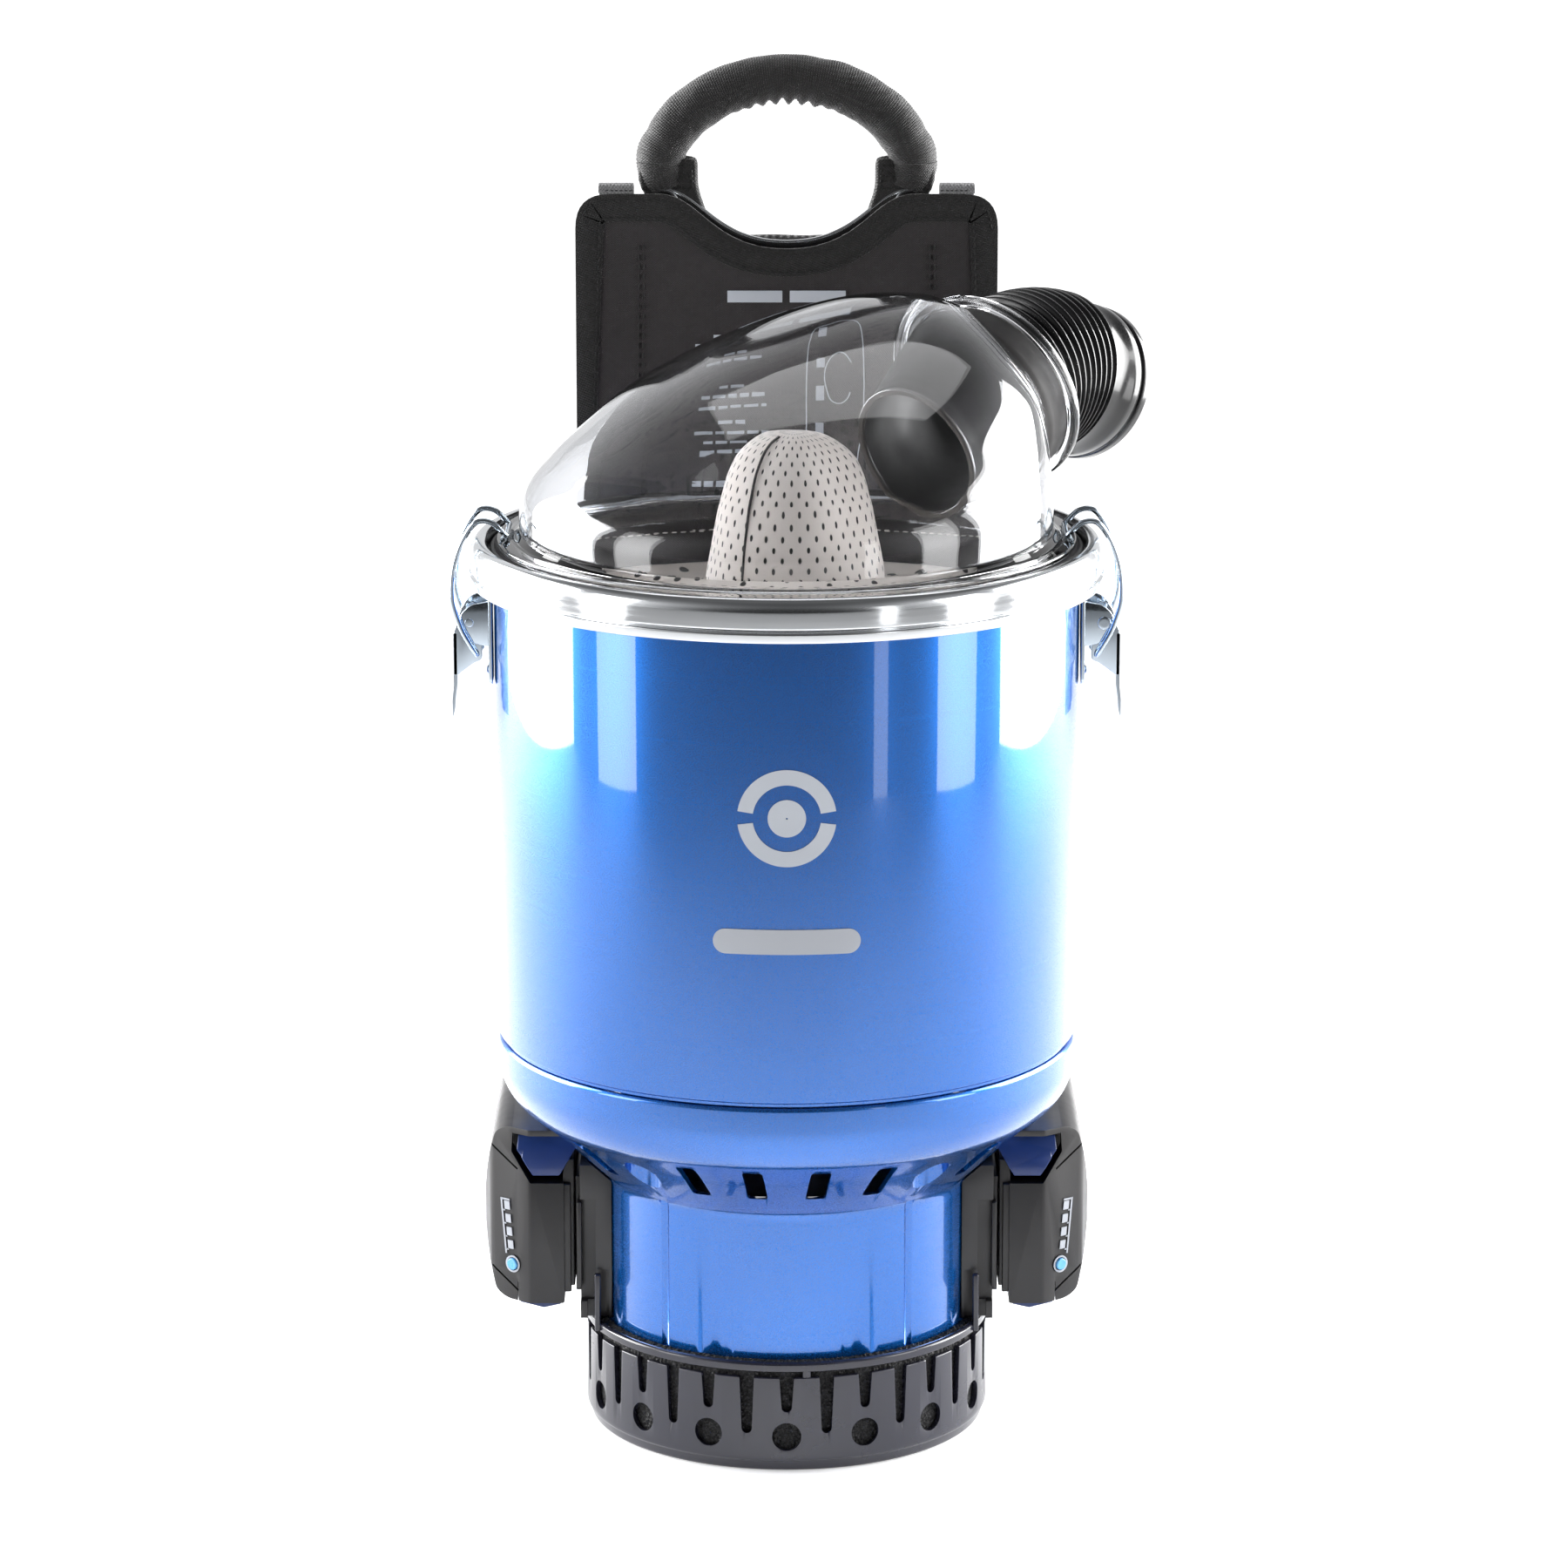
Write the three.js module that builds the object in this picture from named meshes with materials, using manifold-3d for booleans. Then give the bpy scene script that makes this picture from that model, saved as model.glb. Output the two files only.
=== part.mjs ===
// Backpack vacuum cleaner: a cordless motor unit with a clear lid, carried on a fabric harness.
// Units are millimetres, +Z is up. The front of the machine faces -Y and the wearer's back is at +Y.
// The origin is the centre of the base, on the canister's axis.
import * as THREE from 'three';
import { ConvexGeometry } from 'three/addons/geometries/ConvexGeometry.js';
import { mergeVertices } from 'three/addons/utils/BufferGeometryUtils.js';
import Module from 'manifold-3d';

const wasm = await Module();
wasm.setup();

// ---------------------------------------------------------------- driving dimensions
const GAP = 0.3; // air between touching pieces
const ROUND = 40; // sides of the large round pieces
const SMALL_ROUND = 12; // sides of pins and buttons

const GUARD_R = 91.25;
const GUARD_WALL = 2.5;
const GUARD_H = 44;
const GUARD_RING_Z = [46.5, 51];
const GUARD_OPENINGS = 16;

const BODY_R = 84.5; // narrow lower part of the motor housing
const BODY_WALL = 2.6;
const BODY_Z0 = 12;
const FUNNEL_Z0 = 117;
const SEAM_Z = 180; // where the canister stands on the housing
const CANISTER_R = 130;
const CANISTER_WALL = 2.2;
const CANISTER_TOP = 397.8;
const CANISTER_FLOOR = 3;
const INTAKE_R = 44;

const VENT_STEP = 15; // degrees between cooling vents round the funnel
const VENT_WIDTH = 9;
const VENT_AZIMUTHS = [7.5, 22.5, 52.5, 127.5, 157.5, 172.5]; // from the front, each side
const SCREW_AZIMUTHS = [2.5 * VENT_STEP, 9.5 * VENT_STEP];
const SCREW_CIRCLE_R = 104;

const RIM_R = 141;
const RIM_Z = [387, 406];
const LID_R = 118.5;
const LID_FLANGE_R = 128.5;
const LID_FLANGE_Z = [403.3, 406.8];
const LID_WALL = 2.6;
const LID_SIDES = 32;
const LID_LEAN = 44; // azimuth, from +X, towards which the dome leans

// The inlet: a straight sleeve through the lid, then a corrugated bend that ends in a cuff.
const MOUTH = new THREE.Vector3(57, 10, 441);
const INLET_AZIMUTH = 51.3;
const INLET_RISE = 21;
const PORT_AT = 57; // distance from the mouth to the port face
const PORT_R = 41.5;
const POCKET_R = 50;
const HOSE_R = 37.5;
const HOSE_RIDGES = 9;

const LATCH_PIVOT = [140.6, 369]; // outward distance, height
const LATCH_DRAW = [137.5, 355];
const WIRE_R = 1.2;
const WIRE_Y = 14.5;

const BATTERY_Y = [-26, 89];
const BATTERY_Z = [57, 138.5];
const DOCK_Y = [-32, 62];
const DOCK_Z = [52, 124];

const FRAME_Y = [158, 160];
const COVER_Y = [152.7, 157.7];
const PAD_Y = [160.3, 178];
const STRAP_Y = [178.3, 188];
const COVER_X = 98;
const COVER_TOP = 536.6;

// ---------------------------------------------------------------- materials
const finish = (color, roughness, metalness = 0) => new THREE.MeshStandardMaterial({ color, roughness, metalness });
const PAINT_BLUE = finish(0x1f6fd0, 0.15);
const STEEL = finish(0xc8ccd0, 0.2, 1);
const BLACK_GLOSS = finish(0x1a1a1e, 0.25);
const SLATE = finish(0x3c3d48, 0.3);
const CHARCOAL = finish(0x3a3537, 0.45);
const NAVY = finish(0x375096, 0.4);
const PRINT = finish(0xd8d8d8, 0.4);
const SKY_BLUE = finish(0x6fb4e8, 0.3);
const FOAM = finish(0x0c0c0c, 0.95);
const RUBBER = finish(0x202022, 0.8);
const BAG_CLOTH = finish(0xb5aca4, 0.9);
const DARK_CLOTH = finish(0x3c3638, 0.95);
const WEBBING = finish(0x1e1a1c, 0.9);
const GREY_WEBBING = finish(0x707070, 0.9);
const CLEAR = new THREE.MeshStandardMaterial({ color: 0xf0f4f8, roughness: 0.03, transparent: true, opacity: 0.3 });

// ---------------------------------------------------------------- solids
// A closed geometry as a manifold solid with its faces outward.
function toSolid(geometry) {
  const bare = geometry.clone();
  bare.deleteAttribute('normal');
  bare.deleteAttribute('uv');
  const merged = mergeVertices(bare, 1e-4);
  const vertProperties = new Float32Array(merged.attributes.position.array);
  const triVerts = new Uint32Array(merged.index.array);
  const made = new wasm.Manifold(new wasm.Mesh({ numProp: 3, vertProperties, triVerts }));
  if (made.volume() > 0) return made;
  triVerts.reverse();
  return new wasm.Manifold(new wasm.Mesh({ numProp: 3, vertProperties, triVerts }));
}

function toGeometry(solid) {
  const { vertProperties, triVerts } = solid.getMesh();
  const geometry = new THREE.BufferGeometry();
  geometry.setAttribute('position', new THREE.BufferAttribute(new Float32Array(vertProperties), 3));
  geometry.setIndex(new THREE.BufferAttribute(new Uint32Array(triVerts), 1));
  const faceted = geometry.toNonIndexed();
  faceted.computeVertexNormals();
  return faceted;
}

const join = (...solids) => solids.reduce((sum, solid) => sum.add(solid));
const cut = (solid, ...tools) => tools.reduce((rest, tool) => rest.subtract(tool), solid);
const rad = THREE.MathUtils.degToRad;

// A profile of [radius, height] points turned round Z.
function lathe(profile, sides = ROUND) {
  const points = profile.map(([r, z]) => new THREE.Vector2(r, z));
  return toSolid(new THREE.LatheGeometry(points, sides).rotateX(Math.PI / 2));
}

const ring = (profile, sides) => lathe([...profile, profile[0]], sides);

const boxGeometry = ([x0, x1], [y0, y1], [z0, z1]) =>
  new THREE.BoxGeometry(x1 - x0, y1 - y0, z1 - z0).translate((x0 + x1) / 2, (y0 + y1) / 2, (z0 + z1) / 2);

const box = (x, y, z) => toSolid(boxGeometry(x, y, z));

const outline = (points) => new THREE.Shape(points.map(([x, y]) => new THREE.Vector2(x, y)));

// Outlines pulled along Z (plan view) and along Y (front view).
const extrude = (shape, depth) => new THREE.ExtrudeGeometry(shape, { depth, bevelEnabled: false, curveSegments: 8 });
const planSolid = (shape, [z0, z1]) => toSolid(extrude(shape, z1 - z0).translate(0, 0, z0));
const frontGeometry = (shape, [y0, y1]) => extrude(shape, y1 - y0).rotateX(Math.PI / 2).translate(0, y1, 0);
const frontSolid = (shape, y) => toSolid(frontGeometry(shape, y));

// A round bar between two points.
function bar(from, to, radius, sides = SMALL_ROUND) {
  const along = to.clone().sub(from);
  const geometry = new THREE.CylinderGeometry(radius, radius, along.length(), sides);
  const turn = new THREE.Quaternion().setFromUnitVectors(new THREE.Vector3(0, 1, 0), along.clone().normalize());
  return toSolid(geometry.applyQuaternion(turn).translate(...from.clone().lerp(to, 0.5).toArray()));
}

// A round section carried along a curve.
function rod(curve, radius, steps, sides = 10) {
  const section = new THREE.Shape().absarc(0, 0, radius, 0, 2 * Math.PI);
  const settings = { steps, extrudePath: curve, bevelEnabled: false, curveSegments: sides / 2 };
  return toSolid(new THREE.ExtrudeGeometry(section, settings));
}

const V = (x, y, z) => new THREE.Vector3(x, y, z);
const smooth = (points) => new THREE.CatmullRomCurve3(points.map((p) => V(...p)), false, 'centripetal');

const model = new THREE.Group();

function add(name, solid, material, parent = model) {
  const mesh = new THREE.Mesh(toGeometry(solid), material);
  mesh.name = name;
  parent.add(mesh);
}

// Turns a tool drawn at the front (-Y side) to an azimuth measured from the front, towards +X.
const aroundFront = (geometry, azimuth) => toSolid(geometry.clone().rotateZ(rad(azimuth)));
const bothSides = (azimuths) => azimuths.flatMap((azimuth) => [azimuth, -azimuth]);

// ---------------------------------------------------------------- exhaust guard and foam
function exhaustGuard() {
  const inner = GUARD_R - GUARD_WALL;
  const floor = 3;
  const basket = lathe([[0, 0], [GUARD_R - 1.8, 0], [GUARD_R, 1.8], [GUARD_R, GUARD_H], [inner, GUARD_H],
    [inner, floor], [0, floor]]);
  const pitch = 360 / GUARD_OPENINGS;
  const radial = [-GUARD_R - 3, -inner + 3];
  const slot = (bottom) => frontGeometry(outline([[-2.2, bottom], [2.2, bottom], [3.3, GUARD_H + 1],
    [-3.3, GUARD_H + 1]]), radial);
  const hole = new THREE.CylinderGeometry(6.5, 6.5, 12, 10).translate(0, -GUARD_R, 16.5);
  const openings = [];
  for (let i = 0; i < GUARD_OPENINGS; i++) {
    openings.push(aroundFront(hole, i * pitch));
    openings.push(aroundFront(slot(28), i * pitch));
    openings.push(aroundFront(slot(17.7), (i + 0.5) * pitch));
  }
  const [ringZ0, ringZ1] = GUARD_RING_Z;
  const hoop = ring([[inner + 0.6, ringZ0], [GUARD_R + 0.4, ringZ0], [GUARD_R + 0.4, ringZ1], [inner + 0.6, ringZ1]]);
  const posts = [];
  for (let azimuth = 5.6; azimuth < 360; azimuth += 4 * pitch) {
    posts.push(aroundFront(boxGeometry([-2, 2], [-GUARD_R, -inner - 0.6], [GUARD_H - 2, ringZ1 - 1]), azimuth));
  }
  const clips = [-1, 1].map((side) =>
    box([side * 86.5 - 1.5, side * 86.5 + 1.5], [-36.5, -33], [ringZ0, 74]));
  return join(cut(basket, ...openings), hoop, ...posts, ...clips);
}

function exhaustFoam() {
  const inner = BODY_R + 0.4;
  const outer = GUARD_R - GUARD_WALL - 0.4;
  return ring([[inner, 4], [outer, 4], [outer, GUARD_RING_Z[1] - 0.6], [inner, GUARD_RING_Z[1] - 0.6]]);
}

add('exhaust_guard', exhaustGuard(), SLATE);
add('exhaust_foam', exhaustFoam(), FOAM);

// ---------------------------------------------------------------- motor housing
// Outside of the housing, grown by a clearance all round.
function housingOutside(grow = 0) {
  return lathe([[0, BODY_Z0], [BODY_R + grow, BODY_Z0], [BODY_R + grow, FUNNEL_Z0 - grow],
    [111 + grow, 142 - grow], [123 + grow, 151 - grow], [127 + grow, 157], [CANISTER_R + grow, 165],
    [CANISTER_R + grow, SEAM_Z - GAP], [0, SEAM_Z - GAP]]);
}

function batteryBays(grow) {
  return [-1, 1].map((side) => {
    const x = side > 0 ? [94.3 - grow, 140] : [-140, -94.3 + grow];
    return box(x, [-57 - grow, 100 + grow], [100, 141 + grow]);
  });
}

function motorHousing() {
  const inside = lathe([[0, 0], [BODY_R - BODY_WALL, 0], [BODY_R - BODY_WALL, FUNNEL_Z0 + 1.2], [109, 143.6],
    [121, 152.8], [124.5, 158.5], [CANISTER_R - BODY_WALL, 166], [CANISTER_R - BODY_WALL, 200], [0, 200]]);
  const outside = cut(housingOutside(), ...batteryBays(0));
  const shell = cut(outside, cut(inside, ...batteryBays(BODY_WALL)));
  const bosses = bothSides(SCREW_AZIMUTHS).map((azimuth) => aroundFront(
    new THREE.CylinderGeometry(9.5, 9.5, 60, 12).rotateX(Math.PI / 2).translate(0, -SCREW_CIRCLE_R, 149), azimuth)
    .intersect(outside));
  const pockets = bothSides(SCREW_AZIMUTHS).map((azimuth) => aroundFront(
    new THREE.CylinderGeometry(7, 7, 40, 12).rotateX(Math.PI / 2).translate(0, -SCREW_CIRCLE_R, 132), azimuth));
  const vents = bothSides(VENT_AZIMUTHS).map((azimuth) => aroundFront(
    boxGeometry([-VENT_WIDTH / 2, VENT_WIDTH / 2], [-126, -86], [129, 147]), azimuth));
  const grooves = bothSides([39.7, 140.3]).map((azimuth) => aroundFront(
    boxGeometry([-1.6, 1.6], [-BODY_R - 2, -BODY_R + 1.3], [56, FUNNEL_Z0]), azimuth));
  const exhaustWindows = [];
  for (let azimuth = 22.5; azimuth < 360; azimuth += 45) {
    exhaustWindows.push(aroundFront(boxGeometry([-9, 9], [-BODY_R - 3, -BODY_R + 6], [20, 38]), azimuth));
  }
  const switchHole = box([-10.5, 10.5], [BODY_R - 8, BODY_R + 3], [73.5, 98.5]);
  return cut(join(shell, ...bosses), ...pockets, ...vents, ...grooves, ...exhaustWindows, switchHole);
}

add('motor_housing', motorHousing(), PAINT_BLUE);

bothSides(SCREW_AZIMUTHS).forEach((azimuth, i) => {
  const head = new THREE.CylinderGeometry(4.2, 3.6, 3, SMALL_ROUND).rotateX(Math.PI / 2)
    .translate(0, -SCREW_CIRCLE_R, 150.2);
  add(`housing_screw_${i + 1}`, aroundFront(head, azimuth), STEEL);
});

// ---------------------------------------------------------------- motor and fan
const MOTOR_R = 52;
const MOTOR_Z = [40, 128];
const FAN_Z = [134, 150];

add('motor_can', ring([[6.5, MOTOR_Z[0]], [MOTOR_R - 6, MOTOR_Z[0]], [MOTOR_R, MOTOR_Z[0] + 8],
  [MOTOR_R, MOTOR_Z[1]], [6.5, MOTOR_Z[1]]], 32), STEEL);
add('motor_shaft', lathe([[0, 34], [5, 34], [5, FAN_Z[0] - GAP], [0, FAN_Z[0] - GAP]], SMALL_ROUND), STEEL);
add('motor_mount', ring([[MOTOR_R + GAP, 50], [BODY_R - BODY_WALL - GAP, 50], [BODY_R - BODY_WALL - GAP, 58],
  [MOTOR_R + GAP, 58]], 32), RUBBER);

function fanImpeller() {
  const blades = 9;
  const hub = lathe([[0, FAN_Z[0]], [62, FAN_Z[0]], [62, FAN_Z[0] + 1.6], [14, FAN_Z[0] + 1.6],
    [10, FAN_Z[1]], [0, FAN_Z[1]]], 36);
  const vanes = [];
  for (let i = 0; i < blades; i++) {
    const vane = boxGeometry([8, 60], [-0.8, 0.8], [FAN_Z[0] + 1, FAN_Z[1] - 3]).rotateZ(rad((360 / blades) * i));
    vanes.push(toSolid(vane));
  }
  return join(hub, ...vanes);
}

add('fan_impeller', fanImpeller(), STEEL);
add('motor_seal', ring([[INTAKE_R + 1, 153], [62, 153], [62, SEAM_Z - GAP], [INTAKE_R + 1, SEAM_Z - GAP]], 32),
  RUBBER);

function intakeGrille() {
  const z0 = SEAM_Z + CANISTER_FLOOR + GAP;
  const disc = lathe([[0, z0], [INTAKE_R + 6, z0], [INTAKE_R + 6, z0 + 3], [0, z0 + 3]], 32);
  const slots = [];
  for (let i = -3; i <= 3; i++) {
    const half = Math.sqrt((INTAKE_R - 4) ** 2 - (i * 11) ** 2);
    slots.push(box([-half, half], [i * 11 - 3.5, i * 11 + 3.5], [z0 - 2, z0 + 6]));
  }
  return cut(disc, ...slots);
}

add('intake_grille', intakeGrille(), CHARCOAL);

// ---------------------------------------------------------------- canister, rim and bag
const wallInner = CANISTER_R - CANISTER_WALL;
add('canister', ring([[INTAKE_R, SEAM_Z], [CANISTER_R - 1.4, SEAM_Z], [CANISTER_R - 1.4, SEAM_Z + 1.6],
  [CANISTER_R, SEAM_Z + 2.2], [CANISTER_R, CANISTER_TOP], [wallInner, CANISTER_TOP],
  [wallInner, SEAM_Z + CANISTER_FLOOR], [INTAKE_R, SEAM_Z + CANISTER_FLOOR]]), PAINT_BLUE);

add('rim_band', ring([[CANISTER_R + GAP, RIM_Z[0]], [RIM_R - 1, RIM_Z[0]], [RIM_R, RIM_Z[0] + 2],
  [RIM_R, RIM_Z[1] - 5], [RIM_R - 1.8, RIM_Z[1] - 1.6], [RIM_R - 4.5, RIM_Z[1]], [RIM_R - 7, RIM_Z[1] - 1],
  [RIM_R - 8.5, RIM_Z[1] - 4], [CANISTER_R + 1.8, CANISTER_TOP], [CANISTER_R + GAP, CANISTER_TOP]]), STEEL);

add('lid_seal', ring([[120.5, 400], [131.5, 400], [131.5, 402.8], [128, 403], [120.5, 403]]), RUBBER);

// The collar hangs from the canister's edge, where its hem is held under the seal.
add('bag_collar', ring([[124.6, 367], [126.4, 367], [127, CANISTER_TOP + GAP], [131, CANISTER_TOP + GAP],
  [131, 399.7], [124.6, 399.7]]), DARK_CLOTH);

const BAG_X = 3;
const BAG_CONE = [[60, 366], [44, 370], [38.5, 385], [35, 412], [29, 435], [18, 448], [0, 452]];

function filterBag() {
  const cloth = 2;
  const outer = [[124, 371], [117, 368], ...BAG_CONE];
  const inner = [[0, 450], [17, 446], [27.2, 434], [33, 411.5], [36.5, 384.5], [42.4, 368.4], [60, 364], [117, 366],
    [124, 369]];
  return lathe([...inner, ...outer].map(([r, z]) => [r, z - (r > 120 ? cloth / 2 : 0)]), 36);
}

function bagCage() {
  const z0 = SEAM_Z + CANISTER_FLOOR + 3 + 2 * GAP;
  const shell = lathe([[0, z0], [34, z0], [30, 410], [22, 434], [12, 444], [0, 446]], 24);
  const hollow = lathe([[0, z0 - 5], [31.5, z0 - 5], [27.5, 409], [20, 431.5], [0, 440]], 24);
  const windows = [];
  for (let i = 0; i < 4; i++) {
    for (const [low, high] of [[200, 290], [305, 395]]) {
      windows.push(toSolid(boxGeometry([-12, 12], [-45, -10], [low, high]).rotateZ(rad(90 * i))));
    }
  }
  return cut(shell, hollow, ...windows);
}

const insideCollar = lathe([[0, 300], [124.2, 300], [124.2, 500], [0, 500]]);
add('filter_bag', filterBag().translate([BAG_X, 0, 0]).intersect(insideCollar),
  BAG_CLOTH);
add('bag_cage', bagCage(), CHARCOAL);

// ---------------------------------------------------------------- clear lid and inlet
// Level rings of the leaning dome: height, radius, how far the ring's centre has moved.
const DOME_RINGS = [[396, LID_R, 0], [425, LID_R - 1, 0.5], [440, 110.5, 8], [451, 104, 16],
  [468.5, 91, 29], [484, 71, 43], [495.7, 49, 56], [503.5, 26, 65], [506, 8, 69]];
const leanDirection = V(Math.cos(rad(LID_LEAN)), Math.sin(rad(LID_LEAN)), 0);
const inletAxis = V(
  Math.cos(rad(INLET_RISE)) * Math.cos(rad(INLET_AZIMUTH)),
  Math.cos(rad(INLET_RISE)) * Math.sin(rad(INLET_AZIMUTH)),
  Math.sin(rad(INLET_RISE)));
const alongInlet = (distance) => MOUTH.clone().addScaledVector(inletAxis, distance);

function domeSolid(shrink, drop, lowest) {
  const points = [];
  for (const [z, r, lean] of DOME_RINGS) {
    const centre = leanDirection.clone().multiplyScalar(lean);
    const sides = r > 50 ? LID_SIDES : LID_SIDES / 2;
    for (let i = 0; i < sides; i++) {
      const turn = (2 * Math.PI * i) / sides - Math.PI / 2;
      const radius = Math.max(r - shrink, 1);
      const height = z === DOME_RINGS[0][0] ? lowest : z - drop;
      points.push(V(centre.x + radius * Math.cos(turn), centre.y + radius * Math.sin(turn), height));
    }
  }
  return toSolid(new ConvexGeometry(points));
}

function domeLid() {
  const flange = lathe([[0, LID_FLANGE_Z[0]], [LID_FLANGE_R, LID_FLANGE_Z[0]], [LID_FLANGE_R, LID_FLANGE_Z[1]],
    [0, LID_FLANGE_Z[1]]]);
  const pocket = bar(alongInlet(PORT_AT), alongInlet(PORT_AT + 90), POCKET_R, 28);
  const pocketInside = bar(alongInlet(PORT_AT - LID_WALL), alongInlet(PORT_AT + 90), POCKET_R + LID_WALL, 28);
  const outside = cut(join(domeSolid(0, 0, DOME_RINGS[0][0]), flange), pocket);
  const inside = cut(domeSolid(LID_WALL, LID_WALL, 380), pocketInside);
  const port = bar(alongInlet(PORT_AT - 20), alongInlet(PORT_AT + 20), PORT_R, 28);
  return cut(outside, inside, port);
}

add('dome_lid', domeLid(), CLEAR);

// The sleeve widens from its mouth to the port; the bore runs through.
function inletSleeve() {
  const bore = 28.5;
  const profile = [[bore, 0], [31, 0], [31, 8], [34, 24], [38.5, 38], [40.5, 46], [PORT_R - GAP, 48],
    [PORT_R - GAP, PORT_AT + 3], [36, PORT_AT + 3], [35, 44], [31, 26], [bore, 10]];
  const turn = new THREE.Quaternion().setFromUnitVectors(V(0, 0, 1), inletAxis);
  const points = [...profile, profile[0]].map(([r, z]) => new THREE.Vector2(r, z));
  const sleeve = new THREE.LatheGeometry(points, 24).rotateX(Math.PI / 2);
  return toSolid(sleeve.applyQuaternion(turn).translate(...MOUTH.toArray()));
}

add('inlet_sleeve', inletSleeve(), BLACK_GLOSS);

// The hose bends in an upright plane, from the rise of the port down to the cuff.
const HOSE_START = PORT_AT + 3 + GAP;
const HOSE_LENGTH = 46;
const HOSE_END_RISE = -17.5;
const heading = V(Math.cos(rad(INLET_AZIMUTH)), Math.sin(rad(INLET_AZIMUTH)), 0);

// Point and direction on the hose's centre line, at a distance from its start.
function hoseAt(distance) {
  const steps = 24;
  const point = alongInlet(HOSE_START);
  const rise = (s) => rad(INLET_RISE + ((HOSE_END_RISE - INLET_RISE) * s) / HOSE_LENGTH);
  const direction = (s) => heading.clone().multiplyScalar(Math.cos(rise(s))).setZ(Math.sin(rise(s)));
  for (let i = 0; i < steps; i++) point.addScaledVector(direction(((i + 0.5) * distance) / steps), distance / steps);
  return { point, direction: direction(distance) };
}

function hoseSection(distance, radius, sides = 16) {
  const { point, direction } = hoseAt(distance);
  const across = V(-Math.sin(rad(INLET_AZIMUTH)), Math.cos(rad(INLET_AZIMUTH)), 0);
  const upward = direction.clone().cross(across).negate();
  const points = [];
  for (let i = 0; i < sides; i++) {
    const turn = (2 * Math.PI * i) / sides;
    points.push(point.clone().addScaledVector(across, radius * Math.cos(turn))
      .addScaledVector(upward, radius * Math.sin(turn)));
  }
  return points;
}

// A closed skin over rings of points that follow one another and meet at the end.
function skinRings(rings) {
  const sides = rings[0].length;
  const positions = [];
  rings.forEach((from, k) => {
    const to = rings[(k + 1) % rings.length];
    for (let i = 0; i < sides; i++) {
      const j = (i + 1) % sides;
      for (const p of [from[i], from[j], to[j], from[i], to[j], to[i]]) positions.push(p.x, p.y, p.z);
    }
  });
  const geometry = new THREE.BufferGeometry();
  geometry.setAttribute('position', new THREE.Float32BufferAttribute(positions, 3));
  return toSolid(geometry);
}

function inletHose() {
  const pitch = HOSE_LENGTH / HOSE_RIDGES;
  const rings = [];
  for (let i = 0; i < HOSE_RIDGES; i++) {
    rings.push(hoseSection(i * pitch, HOSE_R - 3), hoseSection((i + 0.55) * pitch, HOSE_R));
  }
  rings.push(hoseSection(HOSE_LENGTH, HOSE_R - 3), hoseSection(HOSE_LENGTH, 30));
  for (const share of [0.75, 0.5, 0.25, 0]) rings.push(hoseSection(share * HOSE_LENGTH, 31.5));
  return skinRings(rings);
}

add('inlet_hose', inletHose(), BLACK_GLOSS);

// The cuff turns on the end of the hose.
const cuffStart = hoseAt(HOSE_LENGTH);
const CUFF_PROFILE = [[26, 0], [32.5, 0], [32.5, 5], [33.4, 14], [35.6, 17], [35.6, 20], [34, 22], [35.6, 24],
  [35.6, 27.5], [34.6, 28.5], [30, 28.5], [27, 10]];

function hoseCuff() {
  const points = [...CUFF_PROFILE, CUFF_PROFILE[0]].map(([r, z]) => new THREE.Vector2(r, z + GAP));
  const turn = new THREE.Quaternion().setFromUnitVectors(V(0, 0, 1), cuffStart.direction);
  const cuff = new THREE.LatheGeometry(points, 28).rotateX(Math.PI / 2);
  return toSolid(cuff.applyQuaternion(turn).translate(...cuffStart.point.toArray()));
}

add('hose_cuff', hoseCuff(), BLACK_GLOSS);

// ---------------------------------------------------------------- over-centre latches
// Drawn on the +X side, where x is the distance outward; the left latch is the same, turned half round.
const latchPoint = ([u, z], y) => V(u, y, z);

function latchBase() {
  const plate = cut(box([CANISTER_R - 6, 132], [-16, 16], [341, 384]), lathe([[0, 330], [CANISTER_R + GAP, 330],
    [CANISTER_R + GAP, 400], [0, 400]]));
  const ear = outline([[130.8, 358], [140, 360], [144.5, 365], [144.5, 373], [140, 377], [130.8, 379]]);
  const ears = [-12.8, 11.3].map((y) => frontSolid(ear, [y, y + 1.5]));
  const hole = bar(latchPoint(LATCH_PIVOT, -20), latchPoint(LATCH_PIVOT, 20), 2.4);
  return cut(join(plate, ...ears), hole);
}

function latchLever() {
  const cheek = outline([[135, 352], [139, 350.5], [146.2, 345], [147.8, 345], [147.8, 364], [145, 372],
    [141, 374.5], [137, 372], [135.2, 362]]);
  const cheeks = [-11, 9.5].map((y) => frontSolid(cheek, [y, y + 1.5]));
  const tail = frontSolid(outline([[146.2, 325], [147.8, 325], [148.6, 331], [147.8, 338], [147.8, 362],
    [146.2, 362], [146.2, 338], [147, 331]]), [-11, 11]);
  const hole = bar(latchPoint(LATCH_PIVOT, -20), latchPoint(LATCH_PIVOT, 20), 2.4);
  const drawHole = bar(latchPoint(LATCH_DRAW, -20), latchPoint(LATCH_DRAW, 20), WIRE_R + 0.4);
  return cut(join(...cheeks, tail), hole, drawHole);
}

function latchBail() {
  const tip = [123.5, LID_FLANGE_Z[1] + GAP + WIRE_R + 0.1];
  const route = [LATCH_DRAW, [140.5, 360], [144.5, 368], [147.8, 380], [147, 394], [143, 406], [137, 414.5],
    [130, 414.5], tip];
  const side = (y) => rod(smooth(route.map(([u, z]) => [u, y, z])), WIRE_R, 12, 6);
  const cross = (at) => bar(latchPoint(at, -WIRE_Y - WIRE_R), latchPoint(at, WIRE_Y + WIRE_R), WIRE_R + 0.05);
  return join(side(-WIRE_Y), side(WIRE_Y), cross(LATCH_DRAW), cross(tip));
}

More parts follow.
